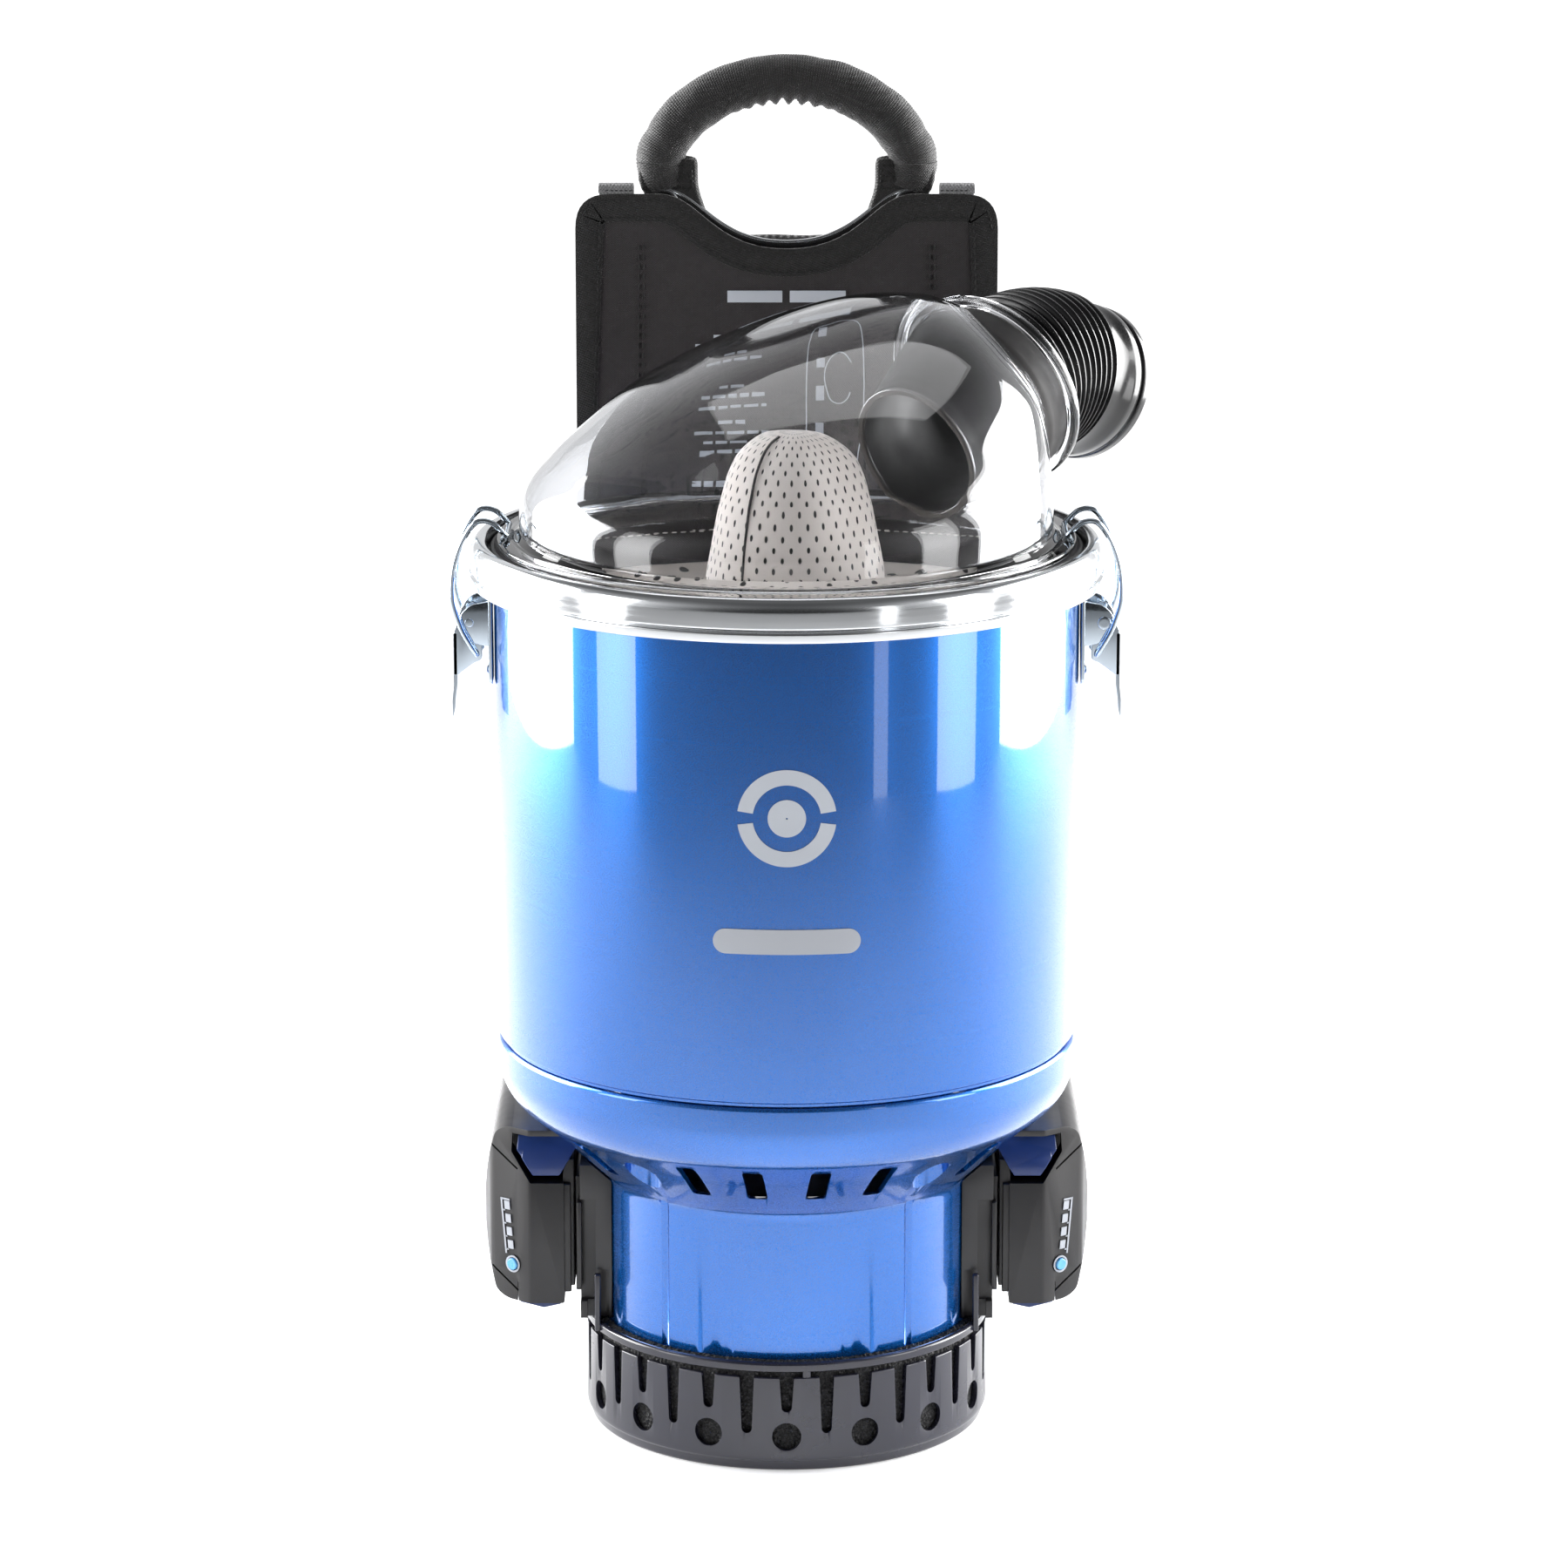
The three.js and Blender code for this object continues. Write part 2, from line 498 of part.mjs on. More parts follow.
for (const [side, turn] of [['right', 0], ['left', Math.PI]]) {
  const latch = new THREE.Group();
  latch.rotation.z = turn;
  add(`latch_base_${side}`, latchBase(), STEEL, latch);
  add(`latch_lever_${side}`, latchLever(), STEEL, latch);
  add(`latch_bail_${side}`, latchBail(), STEEL, latch);
  add(`latch_pin_${side}`, bar(latchPoint(LATCH_PIVOT, -13), latchPoint(LATCH_PIVOT, 13), 2), STEEL, latch);
  model.add(latch);
}

// ---------------------------------------------------------------- battery packs and docks
// Drawn on the +X side; the left ones are mirrored.
const GAUGE_SLANT = [[116, BATTERY_Y[0]], [134, BATTERY_Y[0] + 13]]; // plan view of the slanted face
const gaugeAngle = Math.atan2(GAUGE_SLANT[1][1] - GAUGE_SLANT[0][1], GAUGE_SLANT[1][0] - GAUGE_SLANT[0][0]);
const GAUGE_BUTTON_Z = 74;

// Moves a geometry drawn on the plane y = 0, facing -Y, to the middle of the slanted face.
const onSlant = (geometry) => toSolid(geometry.rotateZ(gaugeAngle)
  .translate((GAUGE_SLANT[0][0] + GAUGE_SLANT[1][0]) / 2, (GAUGE_SLANT[0][1] + GAUGE_SLANT[1][1]) / 2, 0));
const stud = (radius, y, z) => new THREE.CylinderGeometry(radius, radius, y[1] - y[0], SMALL_ROUND)
  .translate(-1.5, (y[0] + y[1]) / 2, z);

function batteryDock() {
  const block = box([66, 93], DOCK_Y, DOCK_Z);
  const step = box([86, 94], [DOCK_Y[0] - 1, DOCK_Y[0] + 5], [60, 108]);
  const rail = box([92.5, 95.4], [BATTERY_Y[0] + 4, DOCK_Y[1]], [62, 116]);
  const clipRoom = box([80, 90], [-40, -29], [45, 75]);
  return cut(join(cut(block, step), rail), housingOutside(0.5), clipRoom);
}

function batteryCase() {
  const [y0, y1] = BATTERY_Y;
  const [z0, z1] = BATTERY_Z;
  const plan = outline([[100.5, y0], GAUGE_SLANT[0], GAUGE_SLANT[1], [137.6, y0 + 24], [137.6, y1 - 3],
    [134, y1], [100.5, y1]]);
  const front = outline([[100.5, z0], [127, z0], [131.5, z0 + 3], [135.6, 76], [137.6, 97.7], [135.6, 120],
    [131.5, z1 - 3.5], [127, z1], [100.5, z1]]);
  const body = planSolid(plan, BATTERY_Z).intersect(frontSolid(front, BATTERY_Y));
  const neck = box([95.8, 101], [y0 + 4, y1 - 4], [64, 124]);
  const topRoom = box([90, 122.2], [y0 - 4, y0 + 19.5], [113.5, 135.8]);
  const bottomRoom = box([101.3, 121.7], [y0 + 4, y0 + 19], [50, 66]);
  const gaugeRoom = onSlant(stud(3.1, [-3, 3], GAUGE_BUTTON_Z));
  return cut(join(body, neck), topRoom, bottomRoom, gaugeRoom);
}

function gaugePanel() {
  const panel = boxGeometry([-5, 4], [-1.1, -GAP], [68, 106]);
  return cut(onSlant(panel), onSlant(stud(3.1, [-3, 3], GAUGE_BUTTON_Z)));
}

function releaseTop() {
  const face = outline([[95, 135], [121, 135], [121.5, 128.5], [114.5, 117], [102.5, 117], [95, 129]]);
  return frontSolid(face, [BATTERY_Y[0] + 0.8, BATTERY_Y[0] + 18.8]);
}

function releaseBottom() {
  const face = outline([[102, 62], [102, 55], [110, 53.2], [121, 56], [121, 62]]);
  return frontSolid(face, [BATTERY_Y[0] + 4.8, BATTERY_Y[0] + 18.2]);
}

for (const side of ['right', 'left']) {
  const bay = new THREE.Group();
  bay.scale.x = side === 'right' ? 1 : -1;
  add(`battery_dock_${side}`, batteryDock(), CHARCOAL, bay);
  add(`battery_case_${side}`, batteryCase(), CHARCOAL, bay);
  add(`release_top_${side}`, releaseTop(), NAVY, bay);
  add(`release_bottom_${side}`, releaseBottom(), NAVY, bay);
  add(`gauge_panel_${side}`, gaugePanel(), PRINT, bay);
  add(`gauge_button_${side}`, onSlant(stud(2.7, [-1.9, 1.8], GAUGE_BUTTON_Z)), SKY_BLUE, bay);
  model.add(bay);
}

// ---------------------------------------------------------------- power switch, on the rear of the housing
const SWITCH_Z = 86;
const ROCKER_REST = -7; // degrees, off

function switchBezel() {
  const flange = cut(box([-13, 13], [80, 91], [SWITCH_Z - 15, SWITCH_Z + 15]), housingOutside(GAP));
  const body = box([-10, 10], [78.5, 91], [SWITCH_Z - 12, SWITCH_Z + 12]);
  const well = box([-8, 8], [85.5, 95], [SWITCH_Z - 10.8, SWITCH_Z + 10.8]);
  return cut(join(flange, body), well);
}

const rocker = boxGeometry([-7.6, 7.6], [-2.6, 2.6], [-10, 10]).rotateX(rad(ROCKER_REST)).translate(0, 90, SWITCH_Z);
add('switch_bezel', switchBezel(), BLACK_GLOSS);
add('power_rocker', toSolid(rocker), BLACK_GLOSS);

// ---------------------------------------------------------------- harness
// Front outline of a panel whose top edge dips in a round neck: half widths and heights.
function neckPanel(halfWidth, bottom, top, dip, neck = 59.5) {
  const shape = new THREE.Shape();
  const corner = 16;
  shape.moveTo(-halfWidth, bottom);
  shape.lineTo(halfWidth, bottom);
  shape.lineTo(halfWidth, top - corner);
  shape.quadraticCurveTo(halfWidth, top, halfWidth - corner, top);
  shape.lineTo(neck, top);
  shape.bezierCurveTo(neck - 20, top, neck - 24, dip, 0, dip);
  shape.bezierCurveTo(24 - neck, dip, 20 - neck, top, -neck, top);
  shape.lineTo(corner - halfWidth, top);
  shape.quadraticCurveTo(-halfWidth, top, -halfWidth, top - corner);
  return shape;
}

function harnessBracket(z) {
  const channel = frontSolid(outline([[-36, z[0]], [36, z[0]], [36, z[1]], [-36, z[1]]]), [118, FRAME_Y[0] - GAP]);
  const hollow = frontSolid(outline([[-28, z[0] + 6], [28, z[0] + 6], [28, z[1] - 6], [-28, z[1] - 6]]),
    [118, FRAME_Y[0] - 4]);
  return cut(channel, hollow, lathe([[0, 150], [CANISTER_R + GAP, 150], [CANISTER_R + GAP, 400], [0, 400]]));
}

add('bracket_upper', harnessBracket([318, 358]), CHARCOAL);
add('bracket_lower', harnessBracket([200, 240]), CHARCOAL);
add('harness_frame', frontSolid(neckPanel(91, 190, COVER_TOP - 4, 513.8, 56), FRAME_Y), STEEL);
add('harness_cover', frontSolid(neckPanel(COVER_X, 380, COVER_TOP, 511), COVER_Y), DARK_CLOTH);
add('back_pad', frontSolid(outline([[-88, 200], [88, 200], [95, 216], [95, 500], [80, 515.7], [-80, 515.7],
  [-95, 500], [-95, 216]]), PAD_Y), DARK_CLOTH);

function carryHandle() {
  const tubeR = 11.3;
  const y = 163.5;
  const arch = rod(smooth([[-57, y, 546], [-58.5, y, 558], [-51, y, 574], [-30, y, 586], [0, y, 589.3],
    [30, y, 586], [51, y, 574], [58.5, y, 558], [57, y, 546]]), tubeR, 20, 12);
  const ends = [-1, 1].map((side) => frontSolid(outline([[side * 41, 553], [side * 70, 553], [side * 69, 540],
    [side * 56, 520], [side * 34, 520], [side * 41, 538]]), [PAD_Y[0], PAD_Y[0] + 5.5]));
  return join(arch, ...ends);
}

function webbingLoop(side) {
  const x = [side * 87, side * 71].sort((a, b) => a - b);
  const over = box(x, [COVER_Y[0], PAD_Y[0] + 2.2], [COVER_TOP + GAP, COVER_TOP + 3.8]);
  const behind = box(x, [PAD_Y[0], PAD_Y[0] + 2.2], [516, COVER_TOP + 2]);
  return join(over, behind);
}

function shoulderStrap(side) {
  const centre = [[50, 508], [62, 470], [70, 420], [70, 360], [58, 300]];
  const halfWidth = 21;
  const edge = (offset) => centre.map(([x, z]) => [side * (x + offset), z]);
  return frontSolid(outline([...edge(halfWidth), ...edge(-halfWidth).reverse()]), STRAP_Y);
}

add('carry_handle', carryHandle(), WEBBING);
for (const [name, side] of [['right', 1], ['left', -1]]) {
  add(`webbing_loop_${name}`, webbingLoop(side), GREY_WEBBING);
  add(`shoulder_strap_${name}`, shoulderStrap(side), DARK_CLOTH);
}
add('lumbar_pad', frontSolid(outline([[-112, 205], [-60, 196], [60, 196], [112, 205], [112, 248], [60, 258],
  [-60, 258], [-112, 248]]), [STRAP_Y[0], STRAP_Y[0] + 15]), DARK_CLOTH);
const BELT_Y = [STRAP_Y[0] + 15 + GAP, STRAP_Y[0] + 18];
add('waist_belt', box([-104, 104], BELT_Y, [211, 243]), WEBBING);
add('belt_buckle', box([-34, 34], [BELT_Y[1] + GAP, BELT_Y[1] + 11], [204, 250]), BLACK_GLOSS);

export default model;
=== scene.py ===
"""The looks of the backpack vacuum cleaner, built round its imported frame. Metres, +Z up, front at -Y."""
import math
import random

import bmesh
import bpy
import numpy as np
from mathutils import Matrix, Quaternion, Vector, noise


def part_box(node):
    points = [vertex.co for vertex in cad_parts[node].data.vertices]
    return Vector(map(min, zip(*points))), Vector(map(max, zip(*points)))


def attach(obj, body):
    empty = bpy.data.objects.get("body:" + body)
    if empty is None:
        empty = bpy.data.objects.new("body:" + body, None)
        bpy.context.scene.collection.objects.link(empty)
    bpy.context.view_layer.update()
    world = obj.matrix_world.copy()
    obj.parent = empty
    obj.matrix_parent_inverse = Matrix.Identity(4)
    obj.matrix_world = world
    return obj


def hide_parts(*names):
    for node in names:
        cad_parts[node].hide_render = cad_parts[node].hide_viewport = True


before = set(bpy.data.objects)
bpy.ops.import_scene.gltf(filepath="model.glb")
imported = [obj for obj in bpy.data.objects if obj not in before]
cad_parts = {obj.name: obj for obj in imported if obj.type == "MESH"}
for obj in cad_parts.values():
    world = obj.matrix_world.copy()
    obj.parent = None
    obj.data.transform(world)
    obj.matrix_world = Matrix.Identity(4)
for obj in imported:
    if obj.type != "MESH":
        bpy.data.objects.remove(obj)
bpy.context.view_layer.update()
MM = 0.001
RANDOM = random.Random(7)


# ------------------------------------------------------------------ camera and light
def aim(obj, target):
    obj.rotation_euler = (Vector(target) - obj.location).to_track_quat("-Z", "Y").to_euler()


def make_camera():
    camera = bpy.data.objects.new("camera", bpy.data.cameras.new("camera"))
    camera.location = (-0.0012, -2.600, 0.924)
    camera.rotation_euler = (math.radians(90 - 13.65), 0, 0)
    camera.data.lens = 137.2
    camera.data.sensor_width = 36
    camera.data.clip_end = 60
    bpy.context.scene.collection.objects.link(camera)
    bpy.context.scene.camera = camera


def softbox(name, place, target, size, watts, spread=180):
    light = bpy.data.lights.new(name, "AREA")
    light.spread = math.radians(spread)
    light.shape = "RECTANGLE"
    light.size, light.size_y = size
    light.energy = watts
    obj = bpy.data.objects.new(name, light)
    obj.location = place
    aim(obj, target)
    bpy.context.scene.collection.objects.link(obj)


def make_lights():
    middle = (0, 0, 0.32)
    for side in (-1, 1):
        softbox(f"softbox_side_{side}", (1.5 * side, 0.62, 0.5), middle, (1.5, 1.9), 41, 95)
        softbox(f"softbox_front_{side}", (1.45 * side, -0.62, 0.5), middle, (0.5, 1.7), 4, 95)
    softbox("strip_right", (0.95, -1.35, 0.45), middle, (0.16, 1.3), 1.3)
    softbox("softbox_top", (0.1, 0.9, 2.1), middle, (1.6, 0.9), 5.7)


def make_world():
    """A white surround that darkens overhead and towards the front, so gloss shows a dark middle."""
    world = bpy.data.worlds.new("studio")
    bpy.context.scene.world = world
    world.use_nodes = True
    tree = world.node_tree
    direction = tree.nodes.new("ShaderNodeTexCoord").outputs["Generated"]
    parts = tree.nodes.new("ShaderNodeSeparateXYZ")
    tree.links.new(direction, parts.inputs[0])
    front = tree.nodes.new("ShaderNodeMapRange")
    front.interpolation_type = "SMOOTHSTEP"
    overhead = tree.nodes.new("ShaderNodeMapRange")
    overhead.interpolation_type = "SMOOTHSTEP"
    strength = tree.nodes.new("ShaderNodeMath")
    strength.operation = "MULTIPLY"
    for ramp, values in ((front, (-0.98, -0.40, 0.04, 0.81)), (overhead, (0.35, 0.8, 1.0, 0.16))):
        for socket, value in zip(("From Min", "From Max", "To Min", "To Max"), values):
            ramp.inputs[socket].default_value = value
    tree.links.new(parts.outputs["Y"], front.inputs["Value"])
    tree.links.new(parts.outputs["Z"], overhead.inputs["Value"])
    tree.links.new(front.outputs[0], strength.inputs[0])
    tree.links.new(overhead.outputs[0], strength.inputs[1])
    tree.nodes["Background"].inputs["Color"].default_value = (0.98, 0.985, 1.0, 1)
    tree.links.new(strength.outputs[0], tree.nodes["Background"].inputs["Strength"])


# ------------------------------------------------------------------ material building blocks
class Graph:
    """A small helper for writing a material's nodes."""

    def __init__(self, name):
        self.material = bpy.data.materials.new(name)
        self.material.use_nodes = True
        self.tree = self.material.node_tree
        self.shader = self.tree.nodes["Principled BSDF"]

    def node(self, kind, **values):
        made = self.tree.nodes.new(kind)
        for key, value in values.items():
            if hasattr(made, key):
                setattr(made, key, value)
            else:
                made.inputs[key.replace("_", " ")].default_value = value
        return made

    def link(self, source, target):
        self.tree.links.new(source, target)

    def set(self, **values):
        for key, value in values.items():
            self.shader.inputs[key.replace("_", " ")].default_value = value

    def math(self, operation, a, b=None, c=None):
        made = self.node("ShaderNodeMath", operation=operation)
        for socket, value in zip(made.inputs, (a, b, c)):
            if value is None:
                continue
            if isinstance(value, (int, float)):
                socket.default_value = value
            else:
                self.link(value, socket)
        return made.outputs[0]

    def place(self, kind="Object"):
        return self.node("ShaderNodeTexCoord").outputs[kind]

    def split(self, vector):
        made = self.node("ShaderNodeSeparateXYZ")
        self.link(vector, made.inputs[0])
        return made.outputs

    def stretched(self, scale, kind="Object"):
        made = self.node("ShaderNodeMapping")
        self.link(self.place(kind), made.inputs["Vector"])
        made.inputs["Scale"].default_value = scale
        return made.outputs[0]

    def noise(self, scale, detail=4, vector=None, roughness=0.55):
        made = self.node("ShaderNodeTexNoise", Scale=scale, Detail=detail, Roughness=roughness)
        self.link(vector or self.place(), made.inputs["Vector"])
        return made.outputs[0]

    def remap(self, value, low, high, from_low=0.3, from_high=0.7):
        made = self.node("ShaderNodeMapRange", From_Min=from_low, From_Max=from_high, To_Min=low, To_Max=high)
        self.link(value, made.inputs["Value"])
        return made.outputs[0]

    def mix(self, factor, a, b):
        made = self.node("ShaderNodeMix", data_type="RGBA")
        self.link(factor, made.inputs[0])
        for socket, value in ((made.inputs[6], a), (made.inputs[7], b)):
            if isinstance(value, tuple):
                socket.default_value = (*value, 1)
            else:
                self.link(value, socket)
        return made.outputs[2]

    def bump(self, height, distance, strength=1.0, under=None):
        made = self.node("ShaderNodeBump", Distance=distance, Strength=strength)
        self.link(height, made.inputs["Height"])
        if under is not None:
            self.link(under, made.inputs["Normal"])
        return made.outputs[0]

    def colour(self, source):
        self.link(source, self.shader.inputs["Base Color"])

    def rough(self, source):
        self.link(source, self.shader.inputs["Roughness"])

    def normal(self, source):
        self.link(source, self.shader.inputs["Normal"])


def moulded(name, base, rough, grain=0.00004, grain_scale=900, coat=0.0, spread=0.18):
    """Moulded plastic: a fine grain, uneven gloss, and a little dust in the colour."""
    g = Graph(name)
    soft = g.noise(9, 5)
    fine = g.noise(grain_scale, 2)
    tone = g.remap(soft, 1 - spread, 1 + spread)
    scaled = g.node("ShaderNodeMix", data_type="RGBA", blend_type="MULTIPLY")
    scaled.inputs[0].default_value = 1
    scaled.inputs[6].default_value = (*base, 1)
    g.link(tone, scaled.inputs[7])
    g.colour(scaled.outputs[2])
    g.rough(g.remap(g.noise(35, 6), rough * 0.8, rough * 1.25))
    g.normal(g.bump(fine, grain, 0.6))
    g.set(Coat_Weight=coat, Coat_Roughness=0.06)
    return g.material


def polished_steel(name, tint=(0.78, 0.8, 0.82), rough=0.12, brush=(3, 3, 700)):
    """Rolled steel with a faint brushed line along the metal."""
    g = Graph(name)
    lines = g.noise(1.0, 3, g.stretched(brush))
    smudge = g.noise(14, 5)
    g.colour(g.mix(g.remap(smudge, 0, 1), tuple(0.88 * c for c in tint), tint))
    g.rough(g.remap(lines, rough * 0.7, rough * 1.5))
    g.normal(g.bump(lines, 0.00003, 0.35))
    g.set(Metallic=1.0)
    return g.material


def paint_blue(name="paint_blue"):
    """Candy blue over metal: deep colour, strong clear coat, fine orange peel and hairline scuffs."""
    g = Graph(name)
    flake = g.noise(2600, 1)
    peel = g.noise(240, 2)
    cloud = g.noise(6, 3)
    deep, bright = (0.0, 0.10, 0.42), (0.0, 0.135, 0.53)
    g.colour(g.mix(g.remap(cloud, 0.2, 0.8), deep, bright))
    scuff = g.noise(1.0, 6, g.stretched((4, 4, 260)))
    g.rough(g.math("ADD", g.remap(flake, 0.22, 0.30), g.remap(scuff, 0.0, 0.06, 0.6, 0.85)))
    g.normal(g.bump(peel, 0.00001, 0.3))
    g.set(Metallic=0.75, Coat_Weight=1.0, Coat_Roughness=0.03, Coat_IOR=1.7)
    return g.material


def woven(name, base, pitch=0.0011, depth=0.00022, rough=0.9, sheen=0.25, across=(1, 0, 0), up=(0, 0, 1)):
    """Plain weave: two crossing rows of thread, worked out from the object's own coordinates."""
    g = Graph(name)
    position = g.place()
    turns = 2 * math.pi / pitch

    def thread(direction):
        made = g.node("ShaderNodeVectorMath", operation="DOT_PRODUCT")
        g.link(position, made.inputs[0])
        made.inputs[1].default_value = tuple(turns * d for d in direction)
        return g.math("SINE", made.outputs["Value"])

    weave = g.math("MULTIPLY", thread(across), thread(up))
    slub = g.noise(420, 3)
    height = g.math("ADD", g.math("MULTIPLY", weave, 0.5), slub)
    worn = g.noise(11, 5)
    light = tuple(min(1, 1.55 * c) for c in base)
    dark = tuple(0.55 * c for c in base)
    # The thread colour follows the weave's height: painted shade in its dips and a painted highlight on its crowns,
    # mixed with random slub tone.
    threads_painted_shade_and_slub = g.mix(g.remap(height, 0, 1, -0.1, 1.1), dark, light)
    faded = g.mix(g.remap(worn, 0, 0.35), threads_painted_shade_and_slub, light)
    g.colour(faded)
    g.rough(g.remap(slub, rough - 0.08, min(1, rough + 0.06)))
    g.normal(g.bump(height, depth, 0.9))
    g.set(Sheen_Weight=sheen, Sheen_Roughness=0.5)
    return g.material


def perforated(name="bag_cloth"):
    """Pale filter cloth with staggered long slots, laid out in the piece's own UV map (metres of cloth)."""
    g = Graph(name)
    across, along = g.split(g.node("ShaderNodeUVMap").outputs[0])[:2]
    pitch_x, pitch_y = 0.0080, 0.0116

    def slots(shift):
        x = g.math("ADD", g.math("DIVIDE", across, pitch_x), shift)
        y = g.math("ADD", g.math("DIVIDE", along, pitch_y), shift)
        dx = g.math("MULTIPLY", g.math("SUBTRACT", g.math("FRACT", x), 0.5), pitch_x / 0.00078)
        dy = g.math("MULTIPLY", g.math("SUBTRACT", g.math("FRACT", y), 0.5), pitch_y / 0.0017)
        power = g.math("ADD", g.math("MULTIPLY", dx, dx), g.math("MULTIPLY", dy, dy))
        return g.remap(power, 1, 0, 0.7, 1.25)

    hole = g.math("MAXIMUM", slots(0.0), slots(0.5))
    fluff = g.noise(900, 4)
    dirt = g.noise(16, 5)
    cloth = g.mix(g.remap(dirt, 0, 1), (0.76, 0.69, 0.63), (0.90, 0.84, 0.79))
    # The slots are not cut through the cloth: they are painted near-black, a painted shade for the dark inside of the
    # bag seen through them.
    g.colour(g.mix(hole, cloth, (0.035, 0.03, 0.028)))
    g.rough(g.remap(fluff, 0.82, 0.98))
    height = g.math("SUBTRACT", g.math("MULTIPLY", fluff, 0.25), hole)
    g.normal(g.bump(height, 0.0006, 0.8))
    g.set(Sheen_Weight=0.3, Sheen_Roughness=0.5)
    return g.material


def open_foam(name="foam"):
    """Black open-cell foam with glints on its cell walls."""
    g = Graph(name)
    cells = g.node("ShaderNodeTexVoronoi", Scale=620)
    g.link(g.place(), cells.inputs["Vector"])
    glint = g.noise(1500, 2)
    # Darker at the middle of each cell than at its walls: painted shade in the cell hollows.
    g.colour(g.mix(g.remap(cells.outputs["Distance"], 0, 1, 0, 0.7), (0.001, 0.001, 0.001), (0.008, 0.008, 0.009)))
    g.rough(g.remap(glint, 0.9, 0.18, 0.5, 0.7))
    g.normal(g.bump(cells.outputs["Distance"], 0.0012, 1.0))
    return g.material


def clear_plastic(name="clear"):
    """Clear polycarbonate with hairline scratches."""
    g = Graph(name)
    scratch = g.noise(1.0, 6, g.stretched((60, 60, 900)))
    g.rough(g.remap(scratch, 0.0, 0.07, 0.55, 0.8))
    g.normal(g.bump(g.noise(30, 2), 0.00015, 0.25))
    g.set(Base_Color=(0.97, 0.98, 1.0, 1), Transmission_Weight=1.0, IOR=1.5, Specular_IOR_Level=0.22)
    return g.material


# ------------------------------------------------------------------ mesh building blocks (arguments in millimetres)
def mesh_object(name, points, faces):
    mesh = bpy.data.meshes.new(name)
    mesh.from_pydata([tuple(MM * c for c in p) for p in points], [], faces)
    mesh.validate()
    obj = bpy.data.objects.new(name, mesh)
    bpy.context.scene.collection.objects.link(obj)
    return obj


def smooth(obj, angle=35):
    bm = bmesh.new()
    bm.from_mesh(obj.data)
    bmesh.ops.recalc_face_normals(bm, faces=bm.faces)
    bm.to_mesh(obj.data)
    bm.free()
    obj.data.shade_smooth()
    obj.data.set_sharp_from_angle(angle=math.radians(angle))
    return obj


def applied(obj, kind, **values):
    """Adds a modifier and bakes its result into the mesh."""
    modifier = obj.modifiers.new(kind, kind)
    for key, value in values.items():
        setattr(modifier, key, value)
    bpy.context.view_layer.update()
    mesh = bpy.data.meshes.new_from_object(obj.evaluated_get(bpy.context.evaluated_depsgraph_get()))
    obj.modifiers.clear()
    obj.data = mesh
    return obj


def bevelled(obj, width, segments=3, angle=30):
    """Rounds the edges that are sharper than the angle."""
    return applied(obj, "BEVEL", width=width * MM, segments=segments, limit_method="ANGLE",
                   angle_limit=math.radians(angle), harden_normals=False)


def merged(name, objs):
    """One object from several, their meshes side by side."""
    bm = bmesh.new()
    for obj in objs:
        obj.data.transform(obj.matrix_world)
        bm.from_mesh(obj.data)
        bpy.data.objects.remove(obj)
    mesh = bpy.data.meshes.new(name)
    bm.to_mesh(mesh)
    bm.free()
    obj = bpy.data.objects.new(name, mesh)
    bpy.context.scene.collection.objects.link(obj)
    return obj


def carved(obj, tool, operation="DIFFERENCE"):
    """Boolean of two objects; the tool is used up."""
    applied(obj, "BOOLEAN", object=tool, operation=operation, solver="EXACT")
    bpy.data.objects.remove(tool)
    return obj


def filleted(profile, radius, steps=4):
    """A closed or open outline with its corners rounded; a point's third value is its own radius."""
    closed = profile[0] == profile[-1]
    points = profile[:-1] if closed else profile
    out = []
    for i, point in enumerate(points):
        here = Vector(point[:2])
        if not closed and i in (0, len(points) - 1):
            out.append(tuple(here))
            continue
        before, after = Vector(points[i - 1][:2]), Vector(points[(i + 1) % len(points)][:2])
        r = point[2] if len(point) > 2 else radius
        reach = min(r, 0.45 * (before - here).length, 0.45 * (after - here).length)
        start = here + (before - here).normalized() * reach
        end = here + (after - here).normalized() * reach
        for k in range(steps + 1):
            t = k / steps
            out.append(tuple(start * (1 - t) ** 2 + here * 2 * t * (1 - t) + end * t * t))
    if closed:
        out.append(out[0])
    return out


def lathe(name, profile, segments=192, axis=None, start=(0, 0, 0), angle=35, uv=False):
    """A [radius, height] profile turned round +Z, or round an axis from a start point."""
    closed = profile[0] == profile[-1]
    ring = profile[:-1] if closed else profile
    points, faces, rows = [], [], []
    for r, z in ring:
        if r < 1e-6:
            rows.append([len(points)] * segments)
            points.append((0, 0, z))
            continue
        rows.append(list(range(len(points), len(points) + segments)))
        for i in range(segments):
            turn = 2 * math.pi * i / segments
            points.append((r * math.cos(turn), r * math.sin(turn), z))
    for k in range(len(rows) if closed else len(rows) - 1):
        low, high = rows[k], rows[(k + 1) % len(rows)]
        for i in range(segments):
            j = (i + 1) % segments
            corner = [low[i], low[j], high[j], high[i]]
            face = [v for n, v in enumerate(corner) if v not in corner[:n]]
            if len(face) > 2:
                faces.append(face)
    if axis is not None:
        turn = Vector((0, 0, 1)).rotation_difference(Vector(axis))
        points = [tuple(turn @ Vector(p) + Vector(start)) for p in points]
    obj = mesh_object(name, points, faces)
    return smooth(obj, angle) if angle else obj


